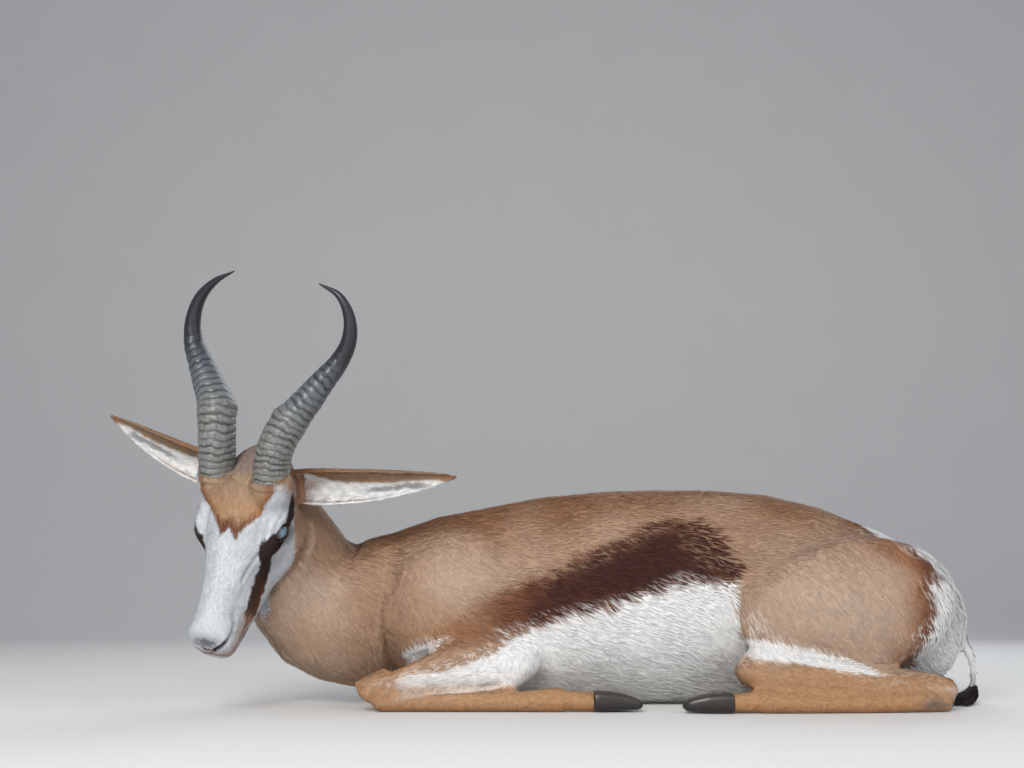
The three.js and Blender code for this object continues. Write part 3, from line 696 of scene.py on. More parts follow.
def leaf_ring(middle, across, opening, wide, deep, turn):
    ring = middle[:, None] + across * (wide[:, None] * np.sin(turn))[..., None]
    return ring - opening * (deep[:, None] * np.cos(turn))[..., None]


def body_surface():
    """The trunk, neck and legs, smoothed as one."""
    names = [name for name in FLESH if name not in ("head", "tail", "ear_l", "ear_r")]
    forms = [node_form(name, SEAM_OVERLAP) for name in names] + [dock_form()]
    forms += [ball_form(sided(FORE_CREASE, side), FORE_CREASE_RADIUS) for side in SIDES]
    points, quads = remeshed(forms, VOXEL_BODY)
    gaps = bone_gaps(points)
    limbs = bone_mask(gaps, "cannon", "pastern", "knee", "dock", "tail")
    slim = bone_mask(gaps, "forearm", "gaskin")
    weight = np.clip(1.0 - 0.97 * limbs - 0.75 * slim, 0.02, 1.0)
    return relaxed(points, neighbours(quads, len(points)), weight, SMOOTHING_ROUNDS["body"]), quads


def horn_root_form(side):
    """The mound of skin that a horn stands on, in the head's frame from the horn down to the brow."""
    stations = [
        (-66, 38.0 * side, 43, 22.0, 23.0),
        (-55, 37.5 * side, 38.5, 26.0, 27.0),
        (-42, 35.0 * side, 31.5, 26.0, 25.0),
        (-26, 31.0 * side, 22, 19.0, 16.5),
        (-10, 28.0 * side, 13, 11.0, 10.5),
    ]
    points, faces = lofted(stations, 24, 24, ends=(0, 0.2))
    return from_head(points), faces


def head_surface():
    """The head with its eye sockets filled and the horns' roots raised, smoothed."""
    forms = [node_form("head", 0.3)]
    for side in SIDES:
        forms.append(ball_form(from_head(sided(EYE_CENTRE, side)), EYE_RADIUS + LID_THICKNESS - 0.6))
        forms.append(horn_root_form(side))
    points, quads = remeshed(forms, VOXEL_HEAD)
    weight = np.where(to_head(points)[:, 0] > 118, 0.5, 1.0)
    return relaxed(points, neighbours(quads, len(points)), weight, SMOOTHING_ROUNDS["head"]), quads


def skin_surface():
    """One surface from nose to tail, smoothed all over and more where its forms meet."""
    forms = [(points, quads.tolist()) for points, quads in (body_surface(), head_surface())]
    forms += [ear_form(side) for side in SIDES]
    points, quads = remeshed(forms, VOXEL_SKIN)
    seams = [([from_head((-70, 30 * side, -50)), from_head((10, 20 * side, -72))], 34) for side in SIDES]
    seams.append(([from_head((-112, 0, -10)), from_head((-112, 0, -60))], 30))
    gaps = [to_path(points, path)[0] / reach for path, reach in seams]
    for side in SIDES:
        gaps.append(np.linalg.norm(to_head(points) - sided(EAR_ROOT, side), axis=1) / 22)
        armpit = [(-396, 122 * side, 58), (-340, 122 * side, 76), (-300, 118 * side, 92)]
        gaps.append(to_path(points, armpit)[0] / 20)
    links = neighbours(quads, len(points))
    join = bounded(sum(np.exp(-(gap**4)) for gap in gaps))
    points = relaxed(points, links, join, SMOOTHING_ROUNDS["seams"])
    return relaxed(points, links, np.full(len(points), 0.5), SMOOTHING_ROUNDS["all"]), quads


# Sculpting: each change moves points along their normals

def dented(points, normals, path, width, height, flat=None):
    """A ridge, or a groove where height is negative, along a path; flat drops one axis from the distance."""
    keep = [k for k in range(3) if k != flat]
    gap = to_path(points[:, keep], np.asarray(path, float)[:, keep])[0]
    return points + normals * (height * spot((gap, 0, width)))[:, None]


def sculpt_head(points, normals):
    """Bony lines, nostrils, mouth and folds of the face, the same on both sides."""
    place = to_head(points)
    x, y, z = place.T
    head = (x > -100) & (np.abs(y) < 75) & (z > -95) & (z < 70)
    work, facing = place[head], (normals @ HEAD_AXES)[head]
    for forms in (FACE_FORMS, MUZZLE_FORMS):
        reaches = muzzle_sides(work)
        for path, width, height, *seen in forms:
            flat = seen[0] if seen else None
            way = facing * reaches[flat][:, None] if seen else facing
            for side in SIDES:
                work = dented(work, way, [sided(p, side) for p in path], width, height, flat)
    result = points.copy()
    result[head] = from_head(work)
    return result


def muzzle_sides(place):
    """How far points in the head's frame belong to the muzzle's front and to its flanks."""
    x, side = place[:, 0], np.abs(place[:, 1])
    front = ramp(120, 128, x)
    return front, ramp(17, 22, side) * ramp(84, 92, x) * (1.0 - 0.9 * ramp(132, 138, x))


def muzzle_gap(place, path):
    """The distance of folded points from a line on the muzzle, seen from in front or from the side."""
    path = np.asarray(path, float)
    front, flank = muzzle_sides(place)
    ahead = to_path(place[:, 1:], path[:, 1:])[0] + 20.0 * (1.0 - front)
    beside = to_path(place[:, [0, 2]], path[:, [0, 2]])[0] + 20.0 * (1.0 - flank)
    return np.minimum(ahead, beside)


def almond(angle):
    """The lids' edge round the gaze: distance along the eye and height, for angles from the front corner."""
    long, high = EYE_OPENING
    c, s = np.cos(angle), np.sin(angle)
    lift = np.where(s > 0, 0.54, 0.46) * high * np.sign(s) * np.abs(s) ** 1.25
    return 0.5 * long * c, lift - EYE_TILT * c


def eye_frame(side):
    """Forward, lift and gaze of an eye, in the head's frame."""
    gaze = unit([0.12, 0.93 * side, 0.36])
    forward = square_to(np.array([1.0, 0.0, 0.12]), gaze)
    return forward, np.cross(gaze, forward) * side, gaze


def carve_eyes(points):
    """Opens the lids: what lies inside their edge sinks behind the eyeball."""
    result = points.copy()
    for side in SIDES:
        centre = sided(EYE_CENTRE, side)
        offset = to_head(points) - centre
        along, high, out = (offset @ axis for axis in eye_frame(side))
        around = np.arctan2(high + EYE_TILT * along / (0.5 * EYE_OPENING[0]), along)
        inside = np.hypot(along, high) < np.hypot(*almond(around)) - 0.2
        chosen = inside & (out > 0) & (np.linalg.norm(offset, axis=1) < 24)
        result[chosen] = from_head(centre + unit(offset[chosen]) * (EYE_RADIUS - 3.5))
    return result


def sculpt_body(points, normals):
    """Muscles, bony points and folds that show through the coat, the same on both sides."""
    for side in SIDES:
        facing = np.where(points[:, 1] * side > 0, 1.0, 0.0)[:, None] * normals
        for path, width, height in BODY_FORMS:
            points = dented(points, facing, [(x, 0, z) for x, z in path], width, height, flat=1)
    behind = [(x + 9, y + 4, z) for x, y, z in JAW_LINE]
    points = dented(points, normals, JAW_LINE, 8, 3.0)
    return dented(points, normals, behind, 5, -2.5)


def sunk(points, normals, gaps):
    """The skin lies under the coat by its depth."""
    head = bone_mask(gaps, *HEAD_BONES)
    ear = bone_mask(gaps, "ear_")
    leg = bone_mask(gaps, "cannon", "pastern", "knee", "forearm", "gaskin")
    shares = {"head": head, "ear": ear, "leg": leg, "body": bounded(1.0 - head - ear - leg)}
    depth = sum(share * COAT_DEPTH[part] for part, share in shares.items())
    result = points - normals * depth[:, None]
    result[:, 2] = np.maximum(result[:, 2], FLOOR_GAP)
    return result


# Markings: numbers beside x, y and z are places on the animal or on its head, in millimetres

def trunk_angle(points):
    """Degrees round the trunk from the line of the back, the same on both sides."""
    roll = BODY_ROLL * np.interp(points[:, 0], *ROLL_SHARE)
    return np.abs(np.degrees(np.arctan2(-(points[:, 1] - 6.0), points[:, 2] - 135.0)) + roll)


def haunch_share(points):
    """1 on the outer face of the thigh, behind the fold of the flank."""
    x, y, z = points.T
    fold = np.interp(z, [40, 60, 84, 110, 150, 180, 200], [34, 38, 44, 50, 46, 62, 90])
    inner = np.interp(z, [40, 80, 115], [106, 100, 80])
    return ramp(-2.5, 2.5, x - fold + ripple(points, 6, 7)) * ramp(0, 10, np.abs(y - 8) - inner)


def paint_body(points, gaps):
    """The coat's colour on everything but the face and the ears."""
    colour = paint_trunk(points, gaps)
    colour = paint_flank(colour, points, gaps)
    colour = paint_legs(colour, points, gaps)
    colour = paint_elbow(colour, points)
    # A pale line painted along the ridge of the skin fold behind the jaw: a painted highlight on the fold
    jaw = to_path(points, JAW_LINE)[0] + 0.8 * ripple(points, 6, 15)
    return paint_rump(mixed(colour, PALE_TAN, 0.8 * ramp(6.0, 1.5, jaw)), points, gaps)


def paint_trunk(points, gaps):
    """Brown along the back, partly painted shade; tan on the sides; paler over shoulder and thigh as painted
    highlights, and over the throat, partly as painted light.
    """
    x, _, z = points.T
    angle = trunk_angle(points)
    patches = ripple(points, 90, 2)
    neck = bone_mask(gaps, *NECK_BONES)
    # The pale spots on shoulder and thigh are painted highlights where they bulge towards the light; the
    # pale throat is partly its own colour and partly painted light; the brown along the back is partly
    # painted shade where it turns from the light
    shoulder = spot((x, -290, 70), (z, 155, 50))
    thigh = spot((x, 170, 110), (z, 120, 70))
    throat = neck * ramp(-420, -470, x) * ramp(190, 150, z)
    return layered(
        SADDLE,
        (TAN, ramp(28, 66, angle + 9 * patches)),
        (NECK_TAN, neck),
        (PALE_TAN, bounded(0.8 * shoulder + 1.1 * thigh + 0.75 * throat + 0.14 * patches)),
        (RUST, 0.35 * ramp(22, 6, angle) * ramp(-420, -250, x)),
    )


def paint_flank(colour, points, gaps):
    """The dark stripe along the side over the white belly."""
    x, y, z = points.T
    angle = trunk_angle(points) + 2.0 * ripple(points, 16, 3) + 1.4 * ripple(points, 5, 4)
    top = angle - np.interp(x, [-300, -270, -240, -209, -179, -156, -121, -93, -62, -31, 4, 20, 36, 56],
                            [97, 96, 89, 85, 81, 76, 70, 66, 61.5, 60.5, 61, 65, 73, 90])
    foot = angle - np.interp(x, [-275, -252, -230, -207, -189, -167, -144, -110, -57, -31, 4, 44],
                             [122, 118, 117, 116, 112, 111, 110, 107, 103, 101, 99, 98])
    side = 1.0 - haunch_share(points)
    trunk = (1.0 - bone_mask(gaps, "forearm", "knee", "cannon", "pastern", "gaskin")) * side
    band = ramp(-2.5, 2.5, top) * ramp(2.5, -2.5, foot) * ramp(-318, -262, x)
    dark = ramp(-240, -185, x + 8 * ripple(points, 30, 17))
    depth = np.minimum(top, -1.6 * foot) + 3.0 * ripple(points, 20, 19)
    tone = mixed(STRIPE_EDGE, STRIPE, dark * (0.75 * ramp(-1, 6, depth) + 0.25 * ramp(6, 14, depth)))
    brown = ramp(-316, -262, x) * (0.45 + 0.55 * ramp(-270, -215, x))
    return layered(
        colour,
        (tone, band * brown * trunk),
        (WHITE, ramp(-2.0, 2.5, foot) * ramp(-330, -300, x) * ramp(330, 290, x) * side),
        (WHITE, (np.abs(y) < 60) * ramp(40, 26, z) * ramp(-400, -370, x)),
    )


def paint_elbow(colour, points):
    """Rusty hair from the stripe's front end down over the elbow, and the white hollow before it."""
    x, y, z = points.T
    outer = ramp(55, 70, np.abs(y))
    flat = np.column_stack([x, z])
    gap, place = to_path(flat, [(-222, 120), (-250, 112), (-285, 98), (-318, 86), (-350, 67)])
    half = np.interp(place, np.linspace(0, 1, 5), [30, 30, 25, 15, 6])
    half = half * (1.0 + 0.12 * np.clip(ripple(points, 9, 18), -2, 2))
    rusty = ramp(1.25, 0.45, gap / half) * ramp(-206, -232, x)
    above = ramp(-2, 2, z - np.interp(x, *FOREARM_EDGE) + ripple(points, 7, 6))
    tone = mixed(mixed(RUST, SADDLE, 0.65), STRIPE_EDGE, ramp(-290, -235, x))
    gap, place = to_path(flat, [(-372, 58), (-350, 68), (-330, 76), (-312, 87)])
    half = np.interp(place, np.linspace(0, 1, 4), [9, 8.5, 6, 1.5])
    hollow = ramp(1.0, -1.0, gap - half + 0.8 * ripple(points, 5, 5))
    return layered(colour, (tone, 0.85 * rusty * above * outer), (WHITE, outer * hollow))


def paint_legs(colour, points, gaps):
    """Tan outside and white inside; the white runs on over the forearm's foot and under the thigh."""
    x, y, z = points.T
    rough = ripple(points, 7, 6)
    forearm = bone_mask(gaps, "forearm", "arm_")
    above = z - np.interp(x, *FOREARM_EDGE) + rough
    shin = bone_mask(gaps, "knee", "fore_cannon", "hind_cannon", "pastern")
    inside = np.where(x < 0, FORE_SPREAD * 1.27, HIND_SPREAD * 1.25) - 7.0 - np.abs(y)
    upper = np.interp(x, [40, 99, 126, 155, 178, 198, 222], [92, 83, 76, 69, 63, 54, 42])
    lower = z - np.interp(x, [40, 95, 121, 148, 175, 193, 215], [64, 60, 55, 51, 46, 44, 42]) + rough
    white = ramp(-1.5, 1.5, upper - z + rough) * ramp(-1.5, 1.5, lower) * ramp(226, 206, x)
    hock = spot((x, 276, 16), (z, 10, 7))
    return layered(
        colour,
        (mixed(TAN, ORANGE, ramp(-300, -370, x)), forearm * ramp(-3, 3, above) * ramp(110, 96, z)),
        (WHITE, forearm * ramp(3, -3, above) * ramp(-372, -352, x)),
        (ORANGE, shin),
        (RUST, 0.25 * shin * ramp(14, 5, z)),
        (WHITE, shin * ramp(-1, 4, inside + rough)),
        (ORANGE, bone_mask(gaps, "gaskin") * ramp(1.5, -1.5, lower) * ramp(40, 54, x)),
        (WHITE, haunch_share(points) * white),
        (GREY * 0.6, 0.8 * hock * bone_mask(gaps, "cannon")),
    )


def rump_edge(points):
    """How far each point lies inside the white rump patch and the strip that runs up the back."""
    x, y, z = points.T
    border = np.interp(z, [30, 52, 72, 85, 103, 122, 139, 155, 175, 200, 215],
                       [272, 272, 274, 284, 287, 290, 288, 284, 275, 258, -60])
    strip = np.interp(x, [-40, 20, 90, 150, 200, 235, 255, 275], [2, 4, 6, 8, 13, 26, 70, 118])
    lower = 60.0 * ramp(165, 120, z)
    return np.minimum(x - border, strip + lower - np.abs(y - 8))


def paint_rump(colour, points, gaps):
    """The white rump patch in its dark rim, which runs on along the haunch's top, and the tail."""
    x, y, z = points.T
    depth = rump_edge(points) + 2.0 * ripple(points, 14, 8) + 1.2 * ripple(points, 4, 9)
    behind = ramp(-60, 20, x) * (1.0 - bone_mask(gaps, "cannon", "pastern", "gaskin"))
    gap, along = to_path(np.column_stack([x, z]), HAUNCH_TOP)
    brow = ramp(1.4, 0.3, gap / (6.0 + 14.0 * along)) * ramp(55, 75, np.abs(y))
    near = bounded(1.0 + depth / np.interp(x, [0, 120, 200, 260], [10, 18, 36, 52]))
    return layered(
        colour,
        (RUST, 0.75 * brow),
        (mixed(RUST, RIM, ramp(0.45, 0.9, near)), behind * ramp(0.0, 0.8, near) * 0.94),
        (WHITE, behind * ramp(-1.5, 2.0, depth)),
        (WHITE, bone_mask(gaps, "dock", "tail_end")),
        (TUFT_DARK, ramp(46, 30, z) * bone_mask(gaps, "tail_end")),
    )


def face_middle(x):
    """How far the markings' middle line strays from the head's own."""
    return np.interp(x, [-50, -31, -22, -5, 8, 22, 110, 140], [4, 0, -2, 1, 3, 4.5, 5, 0])


def cheek_border(x, side):
    """The height, out of the forehead, at which the white cheek ends and the tan jaw begins."""
    height = np.interp(x, [-60, -40, -22, -16, 2, 16, 40, 54, 77, 90],
                       [-4, -14, -26, -34, -46, -57, -64, -68, -82, -105])
    return height - 40.0 * ramp(26, 12, side) * ramp(-10, 30, x)


def paint_head(points):
    """A white face in painted shade, with an orange-brown forehead, a dark stripe through the eye and a grey
    nose pad.
    """
    place = to_head(points)
    x, y, z = place.T
    aside = np.abs(y - face_middle(x))
    rough = ripple(points, 9, 12) + 0.6 * ripple(points, 3, 13)
    colour = layered(
        SHADED_FACE_WHITE,
        (GREY, bounded(0.10 + 0.10 * ripple(points, 26, 14))),
        (SHADED_FACE_WHITE, ramp(14, 4, aside) * ramp(10, 40, x)),
        (TAN, ramp(-34, -52, x) * ramp(44, 52, np.abs(y))),
    )
    colour = paint_forehead(colour, x, z, aside, rough)
    colour = paint_face_stripe(colour, folded(place), rough)
    return paint_muzzle(colour, folded(place), aside)


def paint_forehead(colour, x, z, aside, rough):
    """The forehead's patch, darker towards its edge and its forked front, and the greyer poll."""
    half = np.interp(x, [-50, -31, -22, -5, 8, 22], [54, 48, 41, 29, 17, 11])
    front = 22.0 - 9.0 * spot((aside, 0, 5.5)) - 5.0 * ramp(11, 16, aside)
    inward, ahead = half - aside + rough, front - x + rough
    patch = ramp(-2.0, 2.5, inward) * ramp(-2.0, 2.5, ahead) * ramp(2, 12, z)
    across = np.column_stack([x / 5, aside, z / 3])
    rust = layered(
        FOREHEAD,
        (PALE_TAN, 0.4 * bounded(ripple(across, 8, 22)) * ramp(6, 20, inward)),
        (ORANGE, 0.6 * ramp(56, 34, ahead)),
        (FOREHEAD_EDGE, ramp(12, 2, inward)),
        (FOREHEAD_TIP, ramp(28, 8, ahead + 0.2 * inward)),
    )
    poll = ramp(-48, -66, x) * ramp(-20, 0, z) * ramp(48, 38, aside)
    return layered(colour, (rust, patch), (POLL, poll))


def paint_face_stripe(colour, place, rough):
    """The stripe from the horn's root through the eye to the corner of the mouth."""
    x, _, z = place.T
    gap, along = to_path(place, FACE_STRIPE[:, :3])
    reach = np.interp(along, np.linspace(0, 1, len(FACE_STRIPE)), FACE_STRIPE[:, 3])
    tone = mixed(EYE_STRIPE, LOWER_STRIPE, ramp(36, 62, x) * ramp(10, -16, z + 0.32 * x))
    tone = mixed(tone, TAN, ramp(86, 104, x))
    return mixed(colour, tone, ramp(1.2, -1.2, gap - reach + 1.2 * rough))


def paint_muzzle(colour, place, aside):
    """Tan lips, a dark spot on the chin, the grey nose pad and the dark red nostrils, partly painted shade
    of their openings; painted shade also darkens the lips' seam and the alar groove.
    """
    x, side, z = place.T
    mouth = muzzle_gap(place, MOUTH_LINE)
    alar = to_path(place, [(108, 27, -9), (121, 27, -10), (130, 26, -8)])[0]
    nostril = muzzle_gap(place, NOSTRIL_LINE)
    wide = 2.8 - 0.9 * ramp(8, 3, side)
    return layered(
        colour,
        (TAN, 0.7 * (spot((x, 114, 22), (z, -27, 9)) * ramp(16, 24, side))),
        (LIP, 0.6 * spot((x, 141, 8), (z, -27, 6))),
        (LIP, ramp(5.0, 1.5, mouth) * 0.8),
        # Painted shade: a dark line along the seam of the lips
        (NOSTRIL, ramp(1.4, 0.5, mouth) * 0.7),
        (LOWER_STRIPE, 0.85 * (spot((x, 112, 10), (z, -43, 7)) * ramp(12, 18, side))),
        (NOSE_PAD, 0.9 * bounded(1.3 * spot((x, 138, 8), (z, -7, 8), (aside, 0, 12)))),
        # Painted shade: grey along the alar groove
        (GREY, 0.6 * ramp(4.5, 1.0, alar)),
        # The nostrils' dark red is partly their own skin and partly painted shade of the openings
        (NOSTRIL, ramp(wide + 0.9, wide - 0.9, nostril)),
    )


def paint_ears(points, normals):
    """Brown outside and along the upper rim, white in the hollow under painted grey shade, rusty at the tip
    and root.
    """
    place = to_head(points)
    colour = np.zeros((len(points), 3))
    rough = ripple(points, 12, 20) + 0.5 * ripple(points, 4, 21)
    for side in SIDES:
        along, opening = ear_line(side)
        share = (place - sided(EAR_ROOT, side)) @ along / EAR_LENGTH[side]
        offset = place - ear_middle(side, share)
        across = offset @ unit(np.cross(along, opening)) * side
        inside = ramp(-0.15, 0.3, (normals @ HEAD_AXES) @ opening)
        back = mixed(TAN, SADDLE, ramp(0.2, 0.6, share))
        this_side = place[:, 1] * side > 0
        colour[this_side] = mixed(back, ear_hollow(share, across, rough), inside)[this_side]
    return colour


def ear_hollow(share, across, rough):
    """The colours inside an ear, by share of its length and distance across it from its middle."""
    border = np.interp(share, [0.05, 0.13, 0.23, 0.53, 0.83, 0.93, 1], [-16, -10, -3, 0, 0, 4, 12])
    rim = layered(
        mixed(RUST, EAR_RIM, 0.6),
        (EAR_RIM, ramp(-22, -14, across + 2 * rough)),
        (EAR_ROOT_BROWN, ramp(0.26, 0.12, share)),
    )
    fold = np.abs(across - 9.0 - 3.0 * np.sin(7.0 * share)) + 1.4 * rough
    streak = ramp(4.5, 1.5, fold) * ramp(0.35, 0.5, share) * ramp(0.86, 0.76, share)
    return layered(
        WHITE,
        # Painted shade: grey over the white hollow and a darker grey line along a fold of it
        (GREY, bounded(0.16 + 0.12 * rough)),
        (GREY * 0.45, 0.7 * streak),
        (rim, ramp(2.5, -2.5, across - border + rough)),
        (mixed(EAR_RIM, RUST, 0.5), 0.9 * ramp(0.86, 0.95, share)),
        (mixed(RUST, TAN, 0.5), 0.7 * spot((share, 0.1, 0.04), (across, 3, 8))),
    )


def painted(points, normals, gaps=None):
    """The coat's colour at each point of the surface; skin and tufts both take it from here."""
    gaps = bone_gaps(points) if gaps is None else gaps
    x, y, z = to_head(points).T
    near = ramp(0.08, 0.2, bone_mask(gaps, *HEAD_BONES))
    edge = z - cheek_border(x, np.abs(y)) + 1.6 * ripple(points, 8, 16)
    root = spot((x, -82, 15), (np.abs(y), 54, 14), (z, 12, 18))
    return layered(
        paint_body(points, gaps),
        (paint_head(points), near * ramp(-2.5, 2.5, edge)),
        (EAR_ROOT_BROWN, bounded(1.3 * root)),
        (paint_ears(points, normals), ramp(0.4, 0.6, bone_mask(gaps, "ear_") * ramp(10, -20, x))),
    )


# Materials

GRAIN_DEPTH = 0.0004


def new_material(name):
    """A material with its node tree and its shader."""
    made = bpy.data.materials.new(name)
    made.use_nodes = True
    return made, made.node_tree, made.node_tree.nodes["Principled BSDF"]


def put(node, values):
    """Sets inputs of a node by their names."""
    for name, value in values.items():
        node.inputs[name].default_value = value
    return node


def noise(tree, scale, detail=4.0):
    """The output of a noise that is fixed to the object."""
    texture = put(tree.nodes.new("ShaderNodeTexNoise"), {"Scale": scale, "Detail": detail})
    place = tree.nodes.new("ShaderNodeTexCoord")
    tree.links.new(place.outputs["Object"], texture.inputs["Vector"])
    return texture.outputs["Fac"]


def attribute_material(name, roughness, shade, scale, bump=0.0, specular=0.5, coat=0.0, bump_scale=900.0):
    """A finish whose colour is the piece's own painted colour, varied by noise."""
    made, tree, shader = new_material(name)
    paint = tree.nodes.new("ShaderNodeAttribute")
    paint.attribute_name = "coat"
    span = put(tree.nodes.new("ShaderNodeMapRange"),
               {"To Min": shade[0], "To Max": shade[1], "From Min": 0.3, "From Max": 0.7})
    tree.links.new(noise(tree, scale), span.inputs["Value"])
    product = tree.nodes.new("ShaderNodeVectorMath")
    product.operation = "SCALE"
    tree.links.new(paint.outputs["Color"], product.inputs[0])
    tree.links.new(span.outputs["Result"], product.inputs["Scale"])
    tree.links.new(product.outputs["Vector"], shader.inputs["Base Color"])
    put(shader, {"Roughness": roughness, "Specular IOR Level": specular, "Coat Weight": coat})
    if bump:
        relief = put(tree.nodes.new("ShaderNodeBump"), {"Strength": bump, "Distance": GRAIN_DEPTH})
        tree.links.new(noise(tree, bump_scale, 3.0), relief.inputs["Height"])
        tree.links.new(relief.outputs["Normal"], shader.inputs["Normal"])
    return made


SKIN_FINISH = attribute_material("short_coat", 0.75, (0.86, 1.1), 420.0, bump=0.5, specular=0.15)
TUFT_FINISH = attribute_material("tufts", 0.6, (0.88, 1.1), 160.0, specular=0.18)
HORN_FINISH = attribute_material("horn", 0.42, (0.75, 1.2), 240.0, bump=0.45, bump_scale=500.0, coat=0.15)
HOOF_FINISH = attribute_material("hoof", 0.38, (0.8, 1.2), 200.0, bump=0.3, coat=0.2)
EYE_FINISH = attribute_material("eye", 0.06, (0.95, 1.05), 100.0, coat=1.0)
LID_FINISH = attribute_material("lid", 0.45, (0.8, 1.2), 500.0, bump=0.4)


def finished(piece, finish, slot, *nodes):
    """Gives a piece its finish, hangs it under the root and hides the imported nodes it takes the place of.
    """
    piece.data.materials.clear()
    piece.data.materials.append(finish)
    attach(piece, "root")
    if nodes:
        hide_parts(*nodes)
    return piece


# Skin piece

def reduced(points, quads, dense):
    """The skin with fewer faces where dense is low."""
    source = add_object("skin", points, quads)
    group = source.vertex_groups.new(name="sparse")
    levels = np.round((1.0 - dense) * SPARSE_LEVELS).astype(int)
    for level in range(1, SPARSE_LEVELS + 1):
        group.add(np.flatnonzero(levels == level).tolist(), level / SPARSE_LEVELS, "REPLACE")
    made = linked("skin", decimated(source, SKIN_TRIANGLES, 2 * len(quads), "sparse"))
    made.vertex_groups.clear()
    return made


def build_skin():
    points, quads = skin_surface()
    points = sculpt_body(points, normals_of(points, quads))
    points = sculpt_head(points, normals_of(points, quads))
    gaps = bone_gaps(points)
    points = carve_eyes(sunk(points, normals_of(points, quads), gaps))
    head = bone_mask(gaps, *HEAD_BONES)
    slim = bone_mask(gaps, "cannon", "pastern", "ear_", "dock", "tail_end")
    made = reduced(points, quads, bounded(head + 0.45 * slim))
    mesh = made.data
    mesh.polygons.foreach_set("use_smooth", np.ones(len(mesh.polygons), bool))
    set_colours(mesh, painted(mesh_points(mesh), mesh_normals(mesh)))
    return finished(made, SKIN_FINISH, "coat_tan", *FLESH)


# Horns

def horn_line(side):
    """One horn's centre line in the head's frame, at even steps along it."""
    pitch = math.radians(HEAD_PITCH)
    points = []
    for up, out, lean in zip(HORN_RISE[side], HORN_SPREAD[side], HORN_LEAN):
        x = HORN_BASE[0] - up * math.sin(pitch) + lean * math.cos(pitch)
        z = HORN_BASE[2] + up * math.cos(pitch) + lean * math.sin(pitch)
        points.append([x, (HORN_BASE[1] + out) * side, z])
    return np.array(points)


def horn_rings(t, angle, side):
    """The rings' height from 0 to 1: broad uneven swells parted by narrow wavy grooves."""
    share = np.clip(t / HORN_RINGED_PART, -0.05, 1)
    wave = 0.17 * np.sin(2 * angle + 7 * share + side) + 0.10 * np.sin(5 * angle + 23 * share)
    wave = wave + 0.06 * np.sin(9 * angle - 31 * share + 2 * side)
    phase = HORN_RINGS * (1.3 * share - 0.3 * share**2) + wave
    ring = np.floor(phase + 0.5)
    depth = 0.8 + 0.2 * np.sin(3.1 * ring + 2.0 * np.sin(angle + 1.7 * ring))
    groove = spot((phase, ring, 0.17)) * depth
    fine = 0.25 * spot(((3 * phase + 0.4 * np.sin(4 * angle)) % 1.0, 0.5, 0.2))
    turn = phase - np.floor(phase)
    swell = 0.66 + 0.34 * turn + 0.14 * np.sin(3 * angle + 2.3 * np.floor(phase))
    # crest_highlight: how far a point takes the painted highlight of a crest rather than the painted shade
    # of a groove
    crest_highlight = 1.0 - groove - 0.6 * fine * (1 - share)
    return (1.0 - groove) * swell * (1 - share**4) - 0.25 * fine * (1 - share), crest_highlight


def build_horn(side):
    rows, sides = HORN_GRID
    line = horn_line(side)
    root = line[0] - HORN_SUNK_PART / (1 + HORN_SUNK_PART) * HORN_LENGTH * unit(line[1] - line[0])
    path = spline([root, *line], rows, even=True)
    tangent = unit(np.gradient(path, axis=0))
    ahead = square_to(unit(HORN_FRONT), tangent)
    across = np.cross(tangent, ahead)
    t, angle = np.meshgrid(np.linspace(-HORN_SUNK_PART, 1.0, rows),
                           np.linspace(0.0, 2 * math.pi, sides, endpoint=False), indexing="ij")
    height, crest_highlight = horn_rings(t, angle, side)
    girth = np.interp(t, *HORN_GIRTH) * 0.5
    inward = -side * (across[:, None, 1] * np.cos(angle) + ahead[:, None, 1] * np.sin(angle))
    knob = 3.2 * spot((t, 0.28, 0.028)) * bounded(inward)
    grain = 0.16 * np.sin(29 * angle + 4 * np.sin(11 * t)) * (1 - t)
    ring = HORN_RING_HEIGHT * height * (0.68 + 0.32 * np.sin(angle)) - 0.3 + grain + knob
    rings = path[:, None] + across[:, None] * (np.cos(angle) * (girth * HORN_WIDTH + ring))[..., None]
    rings = rings + ahead[:, None] * (np.sin(angle) * (girth * HORN_DEPTH + ring))[..., None]
    points, faces = closed_rings(rings)
    colour = horn_colour(points, crest_highlight.ravel(), t.ravel(), angle.ravel())
    piece = add_object("horn_left" if side > 0 else "horn_right", from_head(points), faces, colour)
    return finished(piece, HORN_FINISH, "horn", f"horn_{TAG[side]}")


def horn_colour(points, crest_highlight, t, angle):
    """Painted highlight on the grey crests and painted shade in the dark grooves, streaked along the horn;
    blue-grey further up, partly a painted sky reflection, and black towards the tip.
    """
    streak = 0.5 + 0.5 * np.sin(23 * angle + 3 * np.sin(9 * t)) * np.clip(ripple(points, 14, 32), -1, 1)
    # The crests' grey, which carries their painted highlight
    light = layered(
        rgb(139, 140, 137),
        (rgb(108, 110, 109), streak),
        (rgb(126, 110, 88), 0.35 * bounded(ripple(points, 24, 31)) * ramp(0.4, 0, t)),
        # The upper horn is darker in its own colour; its blue cast is painted sky reflection
        (rgb(86, 93, 100), ramp(0.16, 0.5, t)),
    )
    # The grooves' dark colour is painted shade
    dark = mixed(rgb(70, 68, 63), rgb(38, 39, 42), ramp(0.2, 0.5, t))
    return layered(dark, (light, bounded(crest_highlight) ** 1.2), (rgb(32, 34, 39), ramp(0.44, 0.66, t)))


# Eyes

